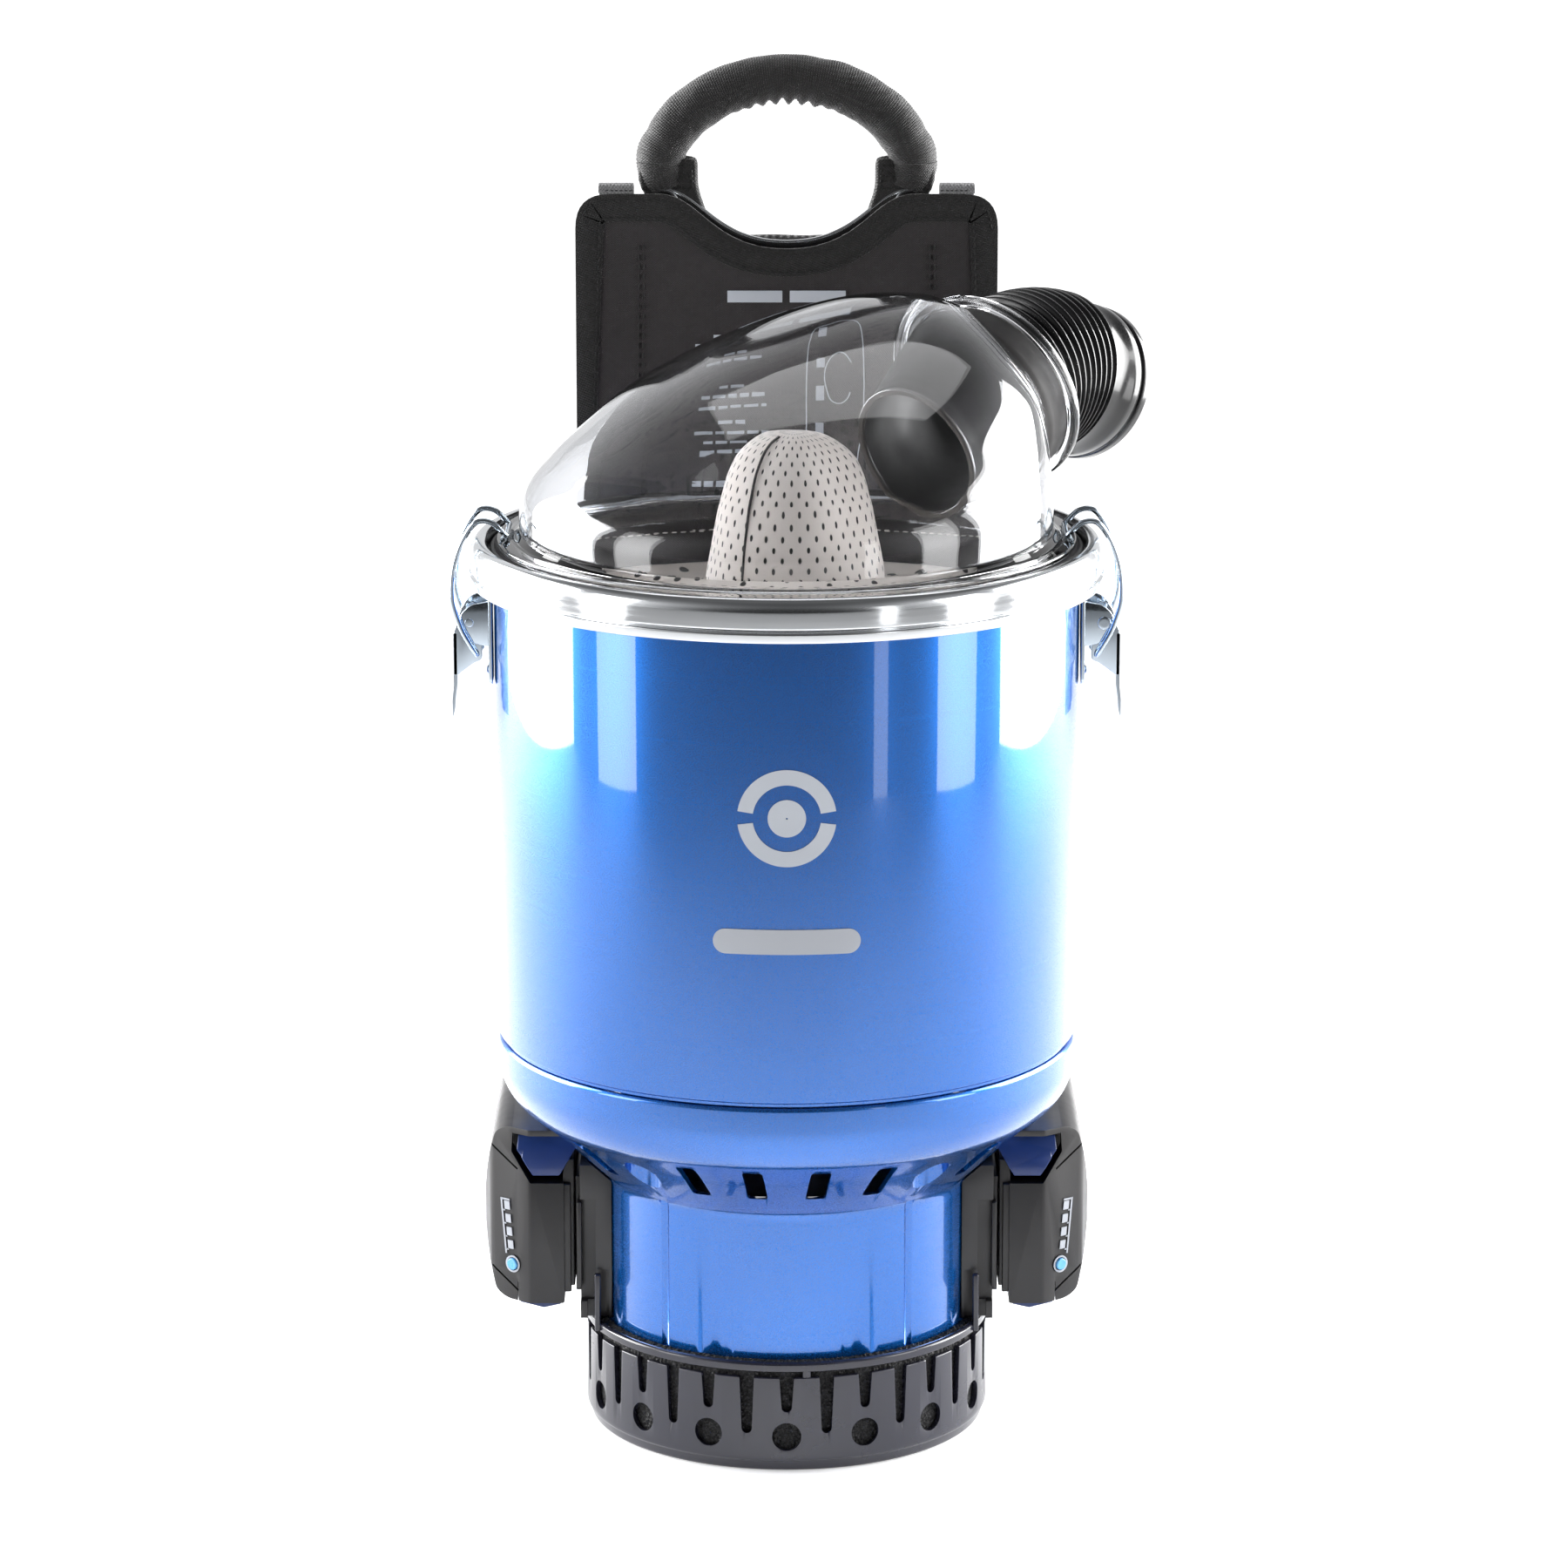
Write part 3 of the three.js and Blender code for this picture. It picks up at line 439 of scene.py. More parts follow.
def cylinder_uv(obj, centre=(0, 0), radius=40):
    """UVs in metres of cloth: round the axis, and up the slope from the axis outward."""
    layer = obj.data.uv_layers.new(name="cloth")
    for poly in obj.data.polygons:
        turns = []
        for loop in poly.loop_indices:
            x, y, z = obj.data.vertices[obj.data.loops[loop].vertex_index].co
            turns.append(math.atan2(y - centre[1] * MM, x - centre[0] * MM))
        for loop, turn in zip(poly.loop_indices, turns):
            if turn - turns[0] > math.pi:
                turn -= 2 * math.pi
            if turn - turns[0] < -math.pi:
                turn += 2 * math.pi
            x, y, z = obj.data.vertices[obj.data.loops[loop].vertex_index].co
            far = math.hypot(x - centre[0] * MM, y - centre[1] * MM)
            layer.data[loop].uv = (turn * radius * MM, z - far)


def prism(name, outline, low, high, plane="front", bevel=0.6, segments=3, angle=30):
    """An outline pulled between two depths. Planes: front (x, z along y), plan (x, y along z), side (y, z along x)."""
    place = {
        "front": lambda a, b, d: (a, d, b),
        "plan": lambda a, b, d: (a, b, d),
        "side": lambda a, b, d: (d, a, b),
    }[plane]
    n = len(outline)
    points = [place(a, b, low) for a, b in outline] + [place(a, b, high) for a, b in outline]
    faces = [list(range(n)), list(range(2 * n - 1, n - 1, -1))]
    faces += [[i, i + n, (i + 1) % n + n, (i + 1) % n] for i in range(n)]
    obj = smooth(mesh_object(name, points, faces), angle)
    if bevel:
        smooth(bevelled(obj, bevel, segments), angle)
    return obj


def block(name, x, y, z, bevel=0.6, segments=3):
    outline = [(x[0], z[0]), (x[1], z[0]), (x[1], z[1]), (x[0], z[1])]
    return prism(name, outline, y[0], y[1], "front", bevel, segments)


def tube(name, path, radius, sides=24, cap=True, angle=35, section=None):
    """A round (or given) section swept along points; radius may be a function of the share of the way."""
    path = [Vector(p) for p in path]
    size = radius if callable(radius) else lambda share: radius
    directions = [(path[min(i + 1, len(path) - 1)] - path[max(i - 1, 0)]).normalized() for i in range(len(path))]
    side = directions[0].orthogonal().normalized()
    points, faces = [], []
    shape = section or [(math.cos(2 * math.pi * k / sides), math.sin(2 * math.pi * k / sides)) for k in range(sides)]
    n = len(shape)
    for i, (here, direction) in enumerate(zip(path, directions)):
        if i:
            side = directions[i - 1].rotation_difference(direction) @ side
        other = direction.cross(side)
        r = size(i / (len(path) - 1))
        points += [tuple(here + side * (a * r) + other * (b * r)) for a, b in shape]
    for i in range(len(path) - 1):
        faces += [[i * n + k, i * n + (k + 1) % n, (i + 1) * n + (k + 1) % n, (i + 1) * n + k] for k in range(n)]
    if cap:
        faces += [list(range(n))[::-1], list(range(len(points) - n, len(points)))]
    return smooth(mesh_object(name, points, faces), angle)


def curve_points(points, count):
    """Evenly spread points on a smooth curve through the given ones (Catmull-Rom)."""
    p = [Vector(q) for q in points]
    p = [p[0] * 2 - p[1], *p, p[-1] * 2 - p[-2]]
    dense = []
    for i in range(1, len(p) - 2):
        for k in range(24):
            t = k / 24
            dense.append(0.5 * (2 * p[i] + (p[i + 1] - p[i - 1]) * t
                                + (2 * p[i - 1] - 5 * p[i] + 4 * p[i + 1] - p[i + 2]) * t * t
                                + (3 * p[i] - p[i - 1] - 3 * p[i + 1] + p[i + 2]) * t ** 3))
    dense.append(p[-2])
    length = [0.0]
    for a, b in zip(dense, dense[1:]):
        length.append(length[-1] + (b - a).length)
    out = []
    for k in range(count):
        want = length[-1] * k / (count - 1)
        i = min(max(np.searchsorted(length, want), 1), len(dense) - 1)
        share = (want - length[i - 1]) / max(length[i] - length[i - 1], 1e-9)
        out.append(dense[i - 1].lerp(dense[i], share))
    return out


def rotated(obj, degrees, centre=(0, 0, 0), axis="Z"):
    spin = Matrix.Rotation(math.radians(degrees), 4, axis)
    move = Matrix.Translation(Vector(centre) * MM)
    obj.data.transform(move @ spin @ move.inverted())
    return obj


def mirrored(obj, name):
    """A copy reflected in the plane x = 0."""
    twin = bpy.data.objects.new(name, obj.data.copy())
    twin.data.transform(Matrix.Scale(-1, 4, (1, 0, 0)))
    twin.data.flip_normals()
    bpy.context.scene.collection.objects.link(twin)
    return twin


def place(obj, material, body, slot, *nodes):
    """Gives a finished piece its material and body, and hides the CAD nodes that it stands for. The slot is not used.
    """
    obj.data.materials.clear()
    obj.data.materials.append(material)
    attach(obj, body)
    if nodes:
        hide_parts(*nodes)
    return obj


# ------------------------------------------------------------------ canister, rim and seal
AXIS_X = 3  # the bag's cone stands a little to the right of the canister's axis
RIM_R = 141


def build_canister(m):
    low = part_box("canister")[0].z / MM
    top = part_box("canister")[1].z / MM
    wall = filleted([(44, low), (128.4, low), (128.4, low + 1.7), (130, low + 2.4), (130, top), (127.8, top),
                     (127.8, low + 3), (44, low + 3), (44, low)], 0.5)
    place(lathe("canister_shell", wall, 256), m["paint_blue"], "shell", "paint_blue", "canister")

    z0, z1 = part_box("rim_band")[0].z / MM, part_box("rim_band")[1].z / MM
    band = filleted([(130.3, z0, 0.3), (RIM_R - 0.6, z0, 1.2), (RIM_R, z0 + 4.4, 0.8), (RIM_R - 1.6, z0 + 5.2, 0.6),
                     (RIM_R - 0.6, z0 + 6.2, 1.0), (RIM_R - 0.6, z1 - 4.2, 4), (RIM_R - 3.2, z1, 3),
                     (RIM_R - 7.4, z1, 3), (RIM_R - 8.9, z1 - 4.6, 2), (132.0, 398.1, 0.3), (130.3, 398.1, 0.3),
                     (130.3, z0, 0.3)], 1.0, 6)
    place(lathe("rim_band_rolled", band, 256), m["rim_steel"], "shell", "steel", "rim_band")

    seal = filleted([(120.5, 400), (131.4, 400), (131.4, 402.6), (130, 403.4), (128.9, 402.6), (120.5, 402.6),
                     (120.5, 400)], 0.8)
    place(lathe("lid_seal_moulded", seal, 192), m["rubber"], "shell", "rubber", "lid_seal")


def emblem_on_canister(m):
    """A plain ring and dot with a blank pill under it, as thin raised decals on the canister's front."""
    radius = 130.25

    def wrapped(obj):
        for v in obj.data.vertices:
            x, y, z = v.co / MM
            turn = x / radius
            depth = radius - y
            v.co = Vector((depth * math.sin(turn), -depth * math.cos(turn), z)) * MM
        return smooth(obj)

    def arc(centre, r, a0, a1, steps):
        return [(centre[0] + r * math.cos(math.radians(a0 + (a1 - a0) * k / steps)),
                 centre[1] + r * math.sin(math.radians(a0 + (a1 - a0) * k / steps))) for k in range(steps + 1)]

    def strips(name, outer, inner):
        n = len(outer)
        pts = [(*p, 0) for p in outer] + [(*p, 0) for p in inner]
        pts = [(x, 0.0, z) for x, z, _ in pts] + [(x, -0.25, z) for x, z, _ in pts]
        faces = []
        for i in range(n - 1):
            a, b, c, d = i, i + 1, n + i + 1, n + i
            faces += [[a, b, c, d], [a + 2 * n, d + 2 * n, c + 2 * n, b + 2 * n],
                      [a, a + 2 * n, b + 2 * n, b], [d, c, c + 2 * n, d + 2 * n]]
        faces += [[0, n, 3 * n, 2 * n], [n - 1, 3 * n - 1, 4 * n - 1, 2 * n - 1]]
        return wrapped(mesh_object(name, pts, faces))

    centre = (0, 309)
    for name, a0, a1 in (("emblem_upper", 8, 172), ("emblem_lower", 188, 352)):
        outer, inner = arc(centre, 21.3, a0, a1, 48), arc(centre, 14.6, a0, a1, 48)
        place(strips(name, outer, inner), m["print_silver"], "shell", "print")
    outer, inner = arc(centre, 8.2, 0, 360, 48), arc(centre, 0.4, 0, 360, 48)
    place(strips("emblem_dot", outer, inner), m["print_silver"], "shell", "print")
    half, r, z = 26.5, 5.5, 254.4
    top = [(-half, z + r)] + [(-half + 2 * half * k / 24, z + r) for k in range(1, 25)]
    left = arc((-half, z), r, 180, 90, 10)[:-1]
    right = arc((half, z), r, 90, 0, 10)[1:]
    upper = left + top + right
    lower = [(x, 2 * z - y) for x, y in upper]
    place(strips("badge_blank", upper, lower), m["print_grey"], "shell", "print")


# ------------------------------------------------------------------ filter bag and collar
def build_bag(m):
    cone = [(124, 369.5), (121, 372.5), (112, 369), (90, 367), (66, 366.4), (52, 367), (44.5, 371), (40.5, 380),
            (38.4, 395), (36, 412), (32, 428), (26.5, 440), (18, 448.5), (9, 451.6), (0, 452)]
    path = [(p.x, p.z) for p in curve_points([(r, 0, z) for r, z in cone], 90)]
    path[-1] = (0, path[-1][1])
    bag = lathe("filter_bag_cloth", path, 220, angle=0)
    cylinder_uv(bag)
    for v in bag.data.vertices:
        r = math.hypot(v.co.x, v.co.y) / MM
        turn = math.atan2(v.co.y, v.co.x)
        slack = min(1, max(0, (v.co.z / MM - 367) / 30)) * min(1, r / 14)
        lobes = math.sin(3 * turn + 0.6) * 0.9 + math.sin(5 * turn + 2.1 + 0.03 * v.co.z / MM) * 0.7
        crease = noise.noise(Vector((v.co.x * 38, v.co.y * 38, v.co.z * 24))) * 1.6
        if r > 1:
            grow = slack * (lobes + crease) / r
            v.co.x *= 1 + grow
            v.co.y *= 1 + grow
        rumple = noise.noise(Vector((v.co.x * 30, v.co.y * 30, 3.1))) * 1.6
        v.co.z += rumple * MM * min(1, max(0, (118 - r) / 20)) * min(1, max(0, (r - 30) / 20))
        v.co.x += AXIS_X * MM * min(1, max(0, (100 - r) / 50))
    bag.data.shade_smooth()
    applied(bag, "SOLIDIFY", thickness=1.2 * MM, offset=-1)
    bag.data.shade_smooth()
    place(bag, m["bag_cloth"], "shell", "bag_cloth", "filter_bag")

    turn = math.radians(235)
    route = [(AXIS_X + (r + 0.6) * math.cos(turn), (r + 0.6) * math.sin(turn), z) for r, z in path[30:-3:3]]
    place(tube("bag_seam", curve_points(route, 60), 0.6, 8), m["bag_cloth"], "shell", "bag_cloth")

    collar = filleted([(124.6, 367), (126.2, 367), (127.2, 372), (127.2, 398.1), (131, 398.1), (131, 399.7),
                       (124.6, 399.7), (125.2, 384), (124.6, 367)], 0.6)
    band = lathe("bag_collar_cloth", collar, 220)
    place(band, m["dark_cloth"], "shell", "dark_cloth", "bag_collar")
    stitches("collar_stitches", [(124.9 * math.cos(t), 124.9 * math.sin(t), 390) for t in
                                 np.linspace(0, 2 * math.pi, 240, endpoint=False)], 4.6, m["thread_white"], "shell",
             "print", 0.35, closed=True)


def stitches(name, path, pitch, material, body, slot, radius=0.4, closed=False, share=0.62):
    """Short thread lengths laid along a path, one object for the row."""
    points = [Vector(p) for p in path]
    if closed:
        points.append(points[0])
    length = [0.0]
    for a, b in zip(points, points[1:]):
        length.append(length[-1] + (b - a).length)

    def at(want):
        i = min(max(int(np.searchsorted(length, want)), 1), len(points) - 1)
        return points[i - 1].lerp(points[i], (want - length[i - 1]) / max(length[i] - length[i - 1], 1e-9))

    count = int(length[-1] / pitch)
    verts, faces = [], []
    for k in range(count):
        a, b = at(k * pitch), at((k + share) * pitch)
        along = (b - a).normalized()
        side = along.orthogonal().normalized()
        other = along.cross(side)
        base = len(verts)
        for share_along, size in ((0.0, 0.35), (0.2, 1.0), (0.8, 1.0), (1.0, 0.35)):
            here = a.lerp(b, share_along)
            for q in range(6):
                turn = math.pi * q / 3
                verts.append(tuple(here + (side * math.cos(turn) + other * math.sin(turn)) * (radius * size)))
        for ring in range(3):
            for q in range(6):
                n = (q + 1) % 6
                faces.append([base + 6 * ring + q, base + 6 * ring + n, base + 6 * ring + 6 + n, base + 6 * ring + 6 + q])
        faces += [[base + q for q in range(5, -1, -1)], [base + 18 + q for q in range(6)]]
    return place(smooth(mesh_object(name, verts, faces)), material, body, slot)


# ------------------------------------------------------------------ clear lid
LID_LEAN = math.radians(44)
INLET_AZIMUTH = math.radians(51.3)
INLET_RISE = 21
MOUTH = Vector((57, 10, 441))
PORT_AT = 57
HOSE_START = PORT_AT + 3.3
HOSE_LENGTH = 46
HOSE_END_RISE = -17.5


def inlet_direction(rise=INLET_RISE):
    up = math.radians(rise)
    return Vector((math.cos(up) * math.cos(INLET_AZIMUTH), math.cos(up) * math.sin(INLET_AZIMUTH), math.sin(up)))


def along_inlet(distance):
    return MOUTH + inlet_direction() * distance


def dome_surface(name, shrink, drop, lowest, segments=160, rows=64):
    """The leaning dome: level rings whose centres move towards the inlet as they rise."""
    key = [(0, 396, 118.5, 0), (0.2, 424, 117.6, 0.4), (0.32, 440, 110.8, 8), (0.4, 451, 104, 16),
           (0.52, 468.5, 91, 29), (0.66, 484, 71, 43), (0.8, 495.7, 49, 56), (0.92, 503.6, 25, 65.5), (1, 506, 1.5, 70)]
    path = curve_points([(z, r, lean) for _, z, r, lean in key], rows)
    lean_x, lean_y = math.cos(LID_LEAN), math.sin(LID_LEAN)
    points, faces = [], []
    for k, (z, r, lean) in enumerate(path):
        height = lowest if k == 0 else z - drop * min(1, (z - 396) / 60)
        radius = max(r - shrink, 0.6)
        for i in range(segments):
            turn = 2 * math.pi * i / segments
            points.append((lean * lean_x + radius * math.cos(turn), lean * lean_y + radius * math.sin(turn), height))
    for k in range(rows - 1):
        for i in range(segments):
            j = (i + 1) % segments
            faces.append([k * segments + i, k * segments + j, (k + 1) * segments + j, (k + 1) * segments + i])
    faces += [list(range(segments))[::-1], [(rows - 1) * segments + i for i in range(segments)]]
    return smooth(mesh_object(name, points, faces), 40)


def rod_between(name, a, b, radius, sides=96, bevel=0):
    length = (b - a).length
    profile = [(0, 0), (radius, 0), (radius, length), (0, length)]
    if bevel:
        profile = filleted(profile, bevel)
    return lathe(name, profile, sides, (b - a).normalized(), a)


def build_lid(m):
    wall = 2.6
    outside = dome_surface("dome_lid_clear", 0, 0, 396)
    pocket = rod_between("pocket", along_inlet(PORT_AT), along_inlet(PORT_AT + 90), 50, bevel=5)
    carved(outside, pocket)
    inside = dome_surface("dome_inside", wall, wall, 380)
    carved(inside, rod_between("pocket", along_inlet(PORT_AT - wall), along_inlet(PORT_AT + 90), 50 + wall, bevel=6))
    carved(outside, inside)
    flange = lathe("flange", filleted([(116.4, 403.3), (128.5, 403.3), (128.5, 406.8), (121.5, 406.8), (118.2, 410),
                                       (116.4, 410), (116.4, 403.3)], 1.4), 160)
    carved(outside, flange, "UNION")
    carved(outside, rod_between("port", along_inlet(PORT_AT - 20), along_inlet(PORT_AT + 20), 41.5))
    place(smooth(outside, 38), m["clear"], "shell", "clear", "dome_lid")
    lip = [(42.0, -2.4), (46.5, -2.4), (46.5, 2.6), (42.0, 2.6), (42.0, -2.4)]
    ring = lathe("port_ring_clear", filleted(lip, 1.6), 128, inlet_direction(), along_inlet(PORT_AT + 3.2))
    place(ring, m["clear"], "shell", "clear")


# ------------------------------------------------------------------ inlet sleeve, hose and cuff
def hose_centre(distance):
    point = along_inlet(HOSE_START)
    steps = 24
    for i in range(steps):
        share = (i + 0.5) * distance / steps / HOSE_LENGTH
        point = point + inlet_direction(INLET_RISE + (HOSE_END_RISE - INLET_RISE) * share) * (distance / steps)
    return point, inlet_direction(INLET_RISE + (HOSE_END_RISE - INLET_RISE) * distance / HOSE_LENGTH)


def build_inlet(m):
    bore = 28.5
    profile = [(bore, 0, 0.8), (30.8, 0, 0.8), (31.1, 7, 3), (32, 10, 6), (34.6, 20, 20), (38.6, 36, 12), (40.4, 45),
               (41.2, 48), (41.2, PORT_AT + 3), (36, PORT_AT + 3), (35, 44, 8), (31, 26, 20), (bore, 10, 8), (bore, 0, 0.8)]
    sleeve = lathe("inlet_sleeve_moulded", filleted(profile, 1.2, 6), 160, inlet_direction(), MOUTH)
    place(sleeve, m["black_satin"], "shell", "black_gloss", "inlet_sleeve")
    # A thin ring over the mouth in a lighter gloss than the sleeve: a painted highlight for the bright crescent on the
    # lip.
    lip = lathe("inlet_sleeve_lip_painted_highlight", filleted([(28.2, -0.7, 0.8), (31.1, -0.7, 0.8), (31.1, 1.2, 0.5), (28.2, 1.2, 0.5),
                                              (28.2, -0.7, 0.8)], 0.5, 6), 128, inlet_direction(), MOUTH)
    place(lip, m["sleeve_lip_painted_highlight"], "shell", "black_gloss")

    ridges = 12
    pitch = HOSE_LENGTH / ridges
    waved = []
    for i in range(ridges):
        for share, r in ((0.0, 34.6), (0.22, 34.7), (0.38, 36.9), (0.48, 37.5), (0.6, 37.5), (0.7, 36.9), (0.84, 34.7)):
            waved.append(((i + share) * pitch, r))
    waved += [(HOSE_LENGTH, 34.6), (HOSE_LENGTH, 30)] + [(HOSE_LENGTH * s, 31.5) for s in np.linspace(0.96, 0, 16)]
    across = Vector((-math.sin(INLET_AZIMUTH), math.cos(INLET_AZIMUTH), 0))
    sides = 128
    points, faces = [], []
    for distance, radius in waved:
        centre, direction = hose_centre(distance)
        upward = across.cross(direction)
        for k in range(sides):
            turn = 2 * math.pi * k / sides
            points.append(tuple(centre + across * (radius * math.cos(turn)) + upward * (radius * math.sin(turn))))
    rows = len(waved)
    for i in range(rows):
        n = (i + 1) % rows
        faces += [[i * sides + k, i * sides + (k + 1) % sides, n * sides + (k + 1) % sides, n * sides + k]
                  for k in range(sides)]
    hose = smooth(mesh_object("inlet_hose_corrugated", points, faces), 50)
    place(hose, m["black_hose"], "shell", "black_gloss", "inlet_hose")
    for name, turn in (("hose_mould_line_upper", math.radians(62)), ("hose_mould_line_lower", math.radians(-118 + 60))):
        route = []
        for distance in np.linspace(0.5, HOSE_LENGTH - 0.5, 40):
            centre, direction = hose_centre(distance)
            upward = across.cross(direction)
            route.append(centre + across * (37.1 * math.cos(turn)) + upward * (37.1 * math.sin(turn)))
        place(tube(name, route, 0.75, 8), m["black_hose"], "shell", "black_gloss")

    centre, direction = hose_centre(HOSE_LENGTH)
    cuff = [(26, 0.3), (32.5, 0.3), (32.7, 5), (33.4, 11, 6), (35.6, 17, 1.2), (35.6, 20.6, 1.2), (34.1, 21.8, 0.8),
            (34.1, 23, 0.8), (35.6, 24.2, 1.2), (35.6, 28.0, 1.2), (34.2, 28.8, 1.0), (30, 28.8, 1.6), (28.3, 22, 6),
            (27, 10), (26, 0.3)]
    place(lathe("hose_cuff_flared", filleted(cuff, 1.2, 6), 160, direction, centre), m["black_gloss"], "hose_cuff",
          "black_gloss", "hose_cuff")


# ------------------------------------------------------------------ exhaust guard and foam
def build_guard(m):
    outer, inner, top = 91.25, 88.75, 44
    profile = [(0, 0), (89.2, 0, 1.5), (90.2, 4.6, 0.6), (91.0, 5.2, 0.5), (91.25, 6.5, 0.5), (91.25, top, 0.5),
               (inner, top, 0.5), (inner, 3), (0, 3)]
    guard = lathe("exhaust_guard_moulded", filleted(profile, 0.6), 256)

    def slot(bottom, width_low, width_top):
        low = [(width_low * math.cos(a), bottom + width_low + width_low * math.sin(a))
               for a in np.linspace(math.pi, 2 * math.pi, 9)]
        return low + [(width_top, top + 2), (-width_top, top + 2)]

    tools = []
    for i in range(16):
        hole = prism("tool", [(6.5 * math.cos(a), 16.5 + 6.5 * math.sin(a)) for a in
                              np.linspace(0, 2 * math.pi, 32, endpoint=False)], -96, -82, "front", 0)
        tools.append(rotated(hole, 22.5 * i))
        tools.append(rotated(prism("tool", slot(28, 2.3, 3.4), -96, -82, "front", 0), 22.5 * i))
        tools.append(rotated(prism("tool", slot(17.7, 2.3, 3.4), -96, -82, "front", 0), 22.5 * (i + 0.5)))
    carved(guard, merged("tools", tools))
    smooth(guard, 30)
    guard = smooth(bevelled(guard, 0.35, 2, 50), 30)
    place(guard, m["slate"], "shell", "slate", "exhaust_guard")
    hoop = [(89.3, 47), (91.6, 46.8), (91.6, 50.2), (90.6, 51), (89.3, 51), (89.3, 47)]
    place(lathe("exhaust_guard_hoop", filleted(hoop, 0.7), 256), m["slate"], "shell", "slate")
    posts = [rotated(block("post", (-1.8, 1.8), (-90.9, -89.3), (42, 50)), 5.6 + 90 * k) for k in range(4)]
    place(merged("exhaust_guard_posts", posts), m["slate"], "shell", "slate")
    clips = [block("clip", (85.2 * s - 1.4, 85.2 * s + 1.4), (-36.4, -33.2), (47, 74), 0.8) for s in (-1, 1)]
    place(merged("exhaust_guard_clips", clips), m["slate"], "shell", "slate")

    profile = filleted([(84.9, 4), (88.4, 4), (88.4, 48), (88.2, 50.4), (84.9, 50.8), (84.9, 4)], 0.8)
    segments = 420
    foam = lathe("exhaust_foam_ring", profile, segments, angle=0)
    applied(foam, "SUBSURF", levels=1, subdivision_type="SIMPLE")
    for v in foam.data.vertices:
        rough = noise.noise(v.co * 900) * 0.7 + noise.noise(v.co * 1900) * 0.35
        if v.co.z > 0.03:
            v.co += Vector((v.co.x, v.co.y, 0)).normalized() * rough * 0.35 * MM
            v.co.z += rough * 0.9 * MM
    foam.data.shade_flat()
    place(foam, m["foam"], "shell", "foam", "exhaust_foam")


# ------------------------------------------------------------------ motor housing
BODY_R = 84.5
VENTS = (7.5, 22.5, 52.5, 127.5, 157.5, 172.5)
SCREWS = (37.5, 142.5)
SCREW_CIRCLE = 104


def both(azimuths):
    return [s * a for a in azimuths for s in (1, -1)]


def slanted_slot(width, low, high):
    """A vent cutter: a round-cornered slot that runs up the funnel and goes straight in."""
    outline = filleted([(-width / 2, low), (width / 2, low), (width / 2, high), (-width / 2, high),
                        (-width / 2, low)], 1.6)[:-1]
    return prism("tool", outline, -128, -84, "front", 0)


def build_housing(m):
    outer = filleted([(0, 12), (BODY_R, 12), (BODY_R, 117, 3), (111, 142, 8), (123, 151, 5), (127, 157, 5),
                      (130, 165, 6), (130, 178.6, 0.8), (129.2, 179.7, 0.2), (0, 179.7)], 1, 8)
    inner = filleted([(0, 0), (81.9, 0), (81.9, 118.2, 3), (109, 143.6, 8), (121, 152.8, 5), (124.5, 158.5, 5),
                      (127.4, 166, 5), (127.4, 200), (0, 200)], 1, 6)
    shell = lathe("motor_housing_shell", outer, 256)
    inside = lathe("inside", inner, 192)
    for s in (-1, 1):
        near = sorted((s * 94.3, s * 140))
        carved(shell, block("bay", near, (-57, 100), (100, 141), 2.0))
        near = sorted((s * 91.7, s * 140))
        carved(inside, block("bay", near, (-59.6, 102.6), (100, 143.6), 2.0))
    carved(shell, inside)
    for azimuth in both(SCREWS):
        boss = lathe("boss", [(0, 122), (9.6, 122), (9.6, 179), (0, 179)], 48)
        boss.data.transform(Matrix.Translation((0, -SCREW_CIRCLE * MM, 0)))
        solid = lathe("limit", outer, 128)
        carved(boss, solid, "INTERSECT")
        carved(shell, rotated(boss, azimuth), "UNION")
    tools = []
    for azimuth in both(SCREWS):
        scoop = lathe("scoop", filleted([(0, 100), (8.2, 100), (8.2, 151.6), (0, 151.6)], 2.5), 48)
        scoop.data.transform(Matrix.Translation((0, -SCREW_CIRCLE * MM, 0)))
        tools.append(rotated(scoop, azimuth))
    tools += [rotated(slanted_slot(9, 128.5, 146.5), azimuth) for azimuth in both(VENTS)]
    for azimuth in both((39.7, 140.3)):
        outline = [(2.6 * math.cos(a), -BODY_R - 1.2 + 2.6 * math.sin(a)) for a in
                   np.linspace(0, 2 * math.pi, 20, endpoint=False)]
        tools.append(rotated(prism("tool", outline, 50, 118.5, "plan", 0), azimuth))
    for k in range(8):
        tools.append(rotated(prism("tool", [(-9, 20), (9, 20), (9, 38), (-9, 38)], -88, -78, "front", 0), 22.5 + 45 * k))
    tools.append(block("tool", (-10.5, 10.5), (76, 88), (73.5, 98.5), 0))
    carved(shell, merged("tools", tools))
    smooth(shell, 32)
    smooth(bevelled(shell, 0.5, 2, 40), 38)
    place(shell, m["paint_blue"], "shell", "paint_blue", "motor_housing")

    # A soft top edge along the front and rear panels between the grooves.
    for name, middle in (("front_panel_edge", -90), ("rear_panel_edge", 90)):
        route = [((BODY_R + 0.1) * math.cos(math.radians(middle + a)), (BODY_R + 0.1) * math.sin(math.radians(middle + a)),
                  118.2) for a in np.linspace(-38, 38, 60)]
        place(tube(name, route, 0.9, 10), m["paint_blue"], "shell", "paint_blue")

    for i, azimuth in enumerate(both(SCREWS)):
        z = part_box(f"housing_screw_{i + 1}")
        centre = (z[0] + z[1]) / 2 / MM
        head = lathe("head", filleted([(0, -1.6), (3.2, -1.6), (4.2, 0.2), (4.2, 1.6), (0, 1.6)], 0.8), 40)
        carved(head, block("cross", (-2.2, 2.2), (-0.5, 0.5), (-3, -0.4), 0))
        carved(head, block("cross", (-0.5, 0.5), (-2.2, 2.2), (-3, -0.4), 0))
        head.data.transform(Matrix.Translation(centre * MM))
        head.name = f"housing_screw_head_{i + 1}"
        place(smooth(head), m["rim_steel"], "shell", "steel", f"housing_screw_{i + 1}")


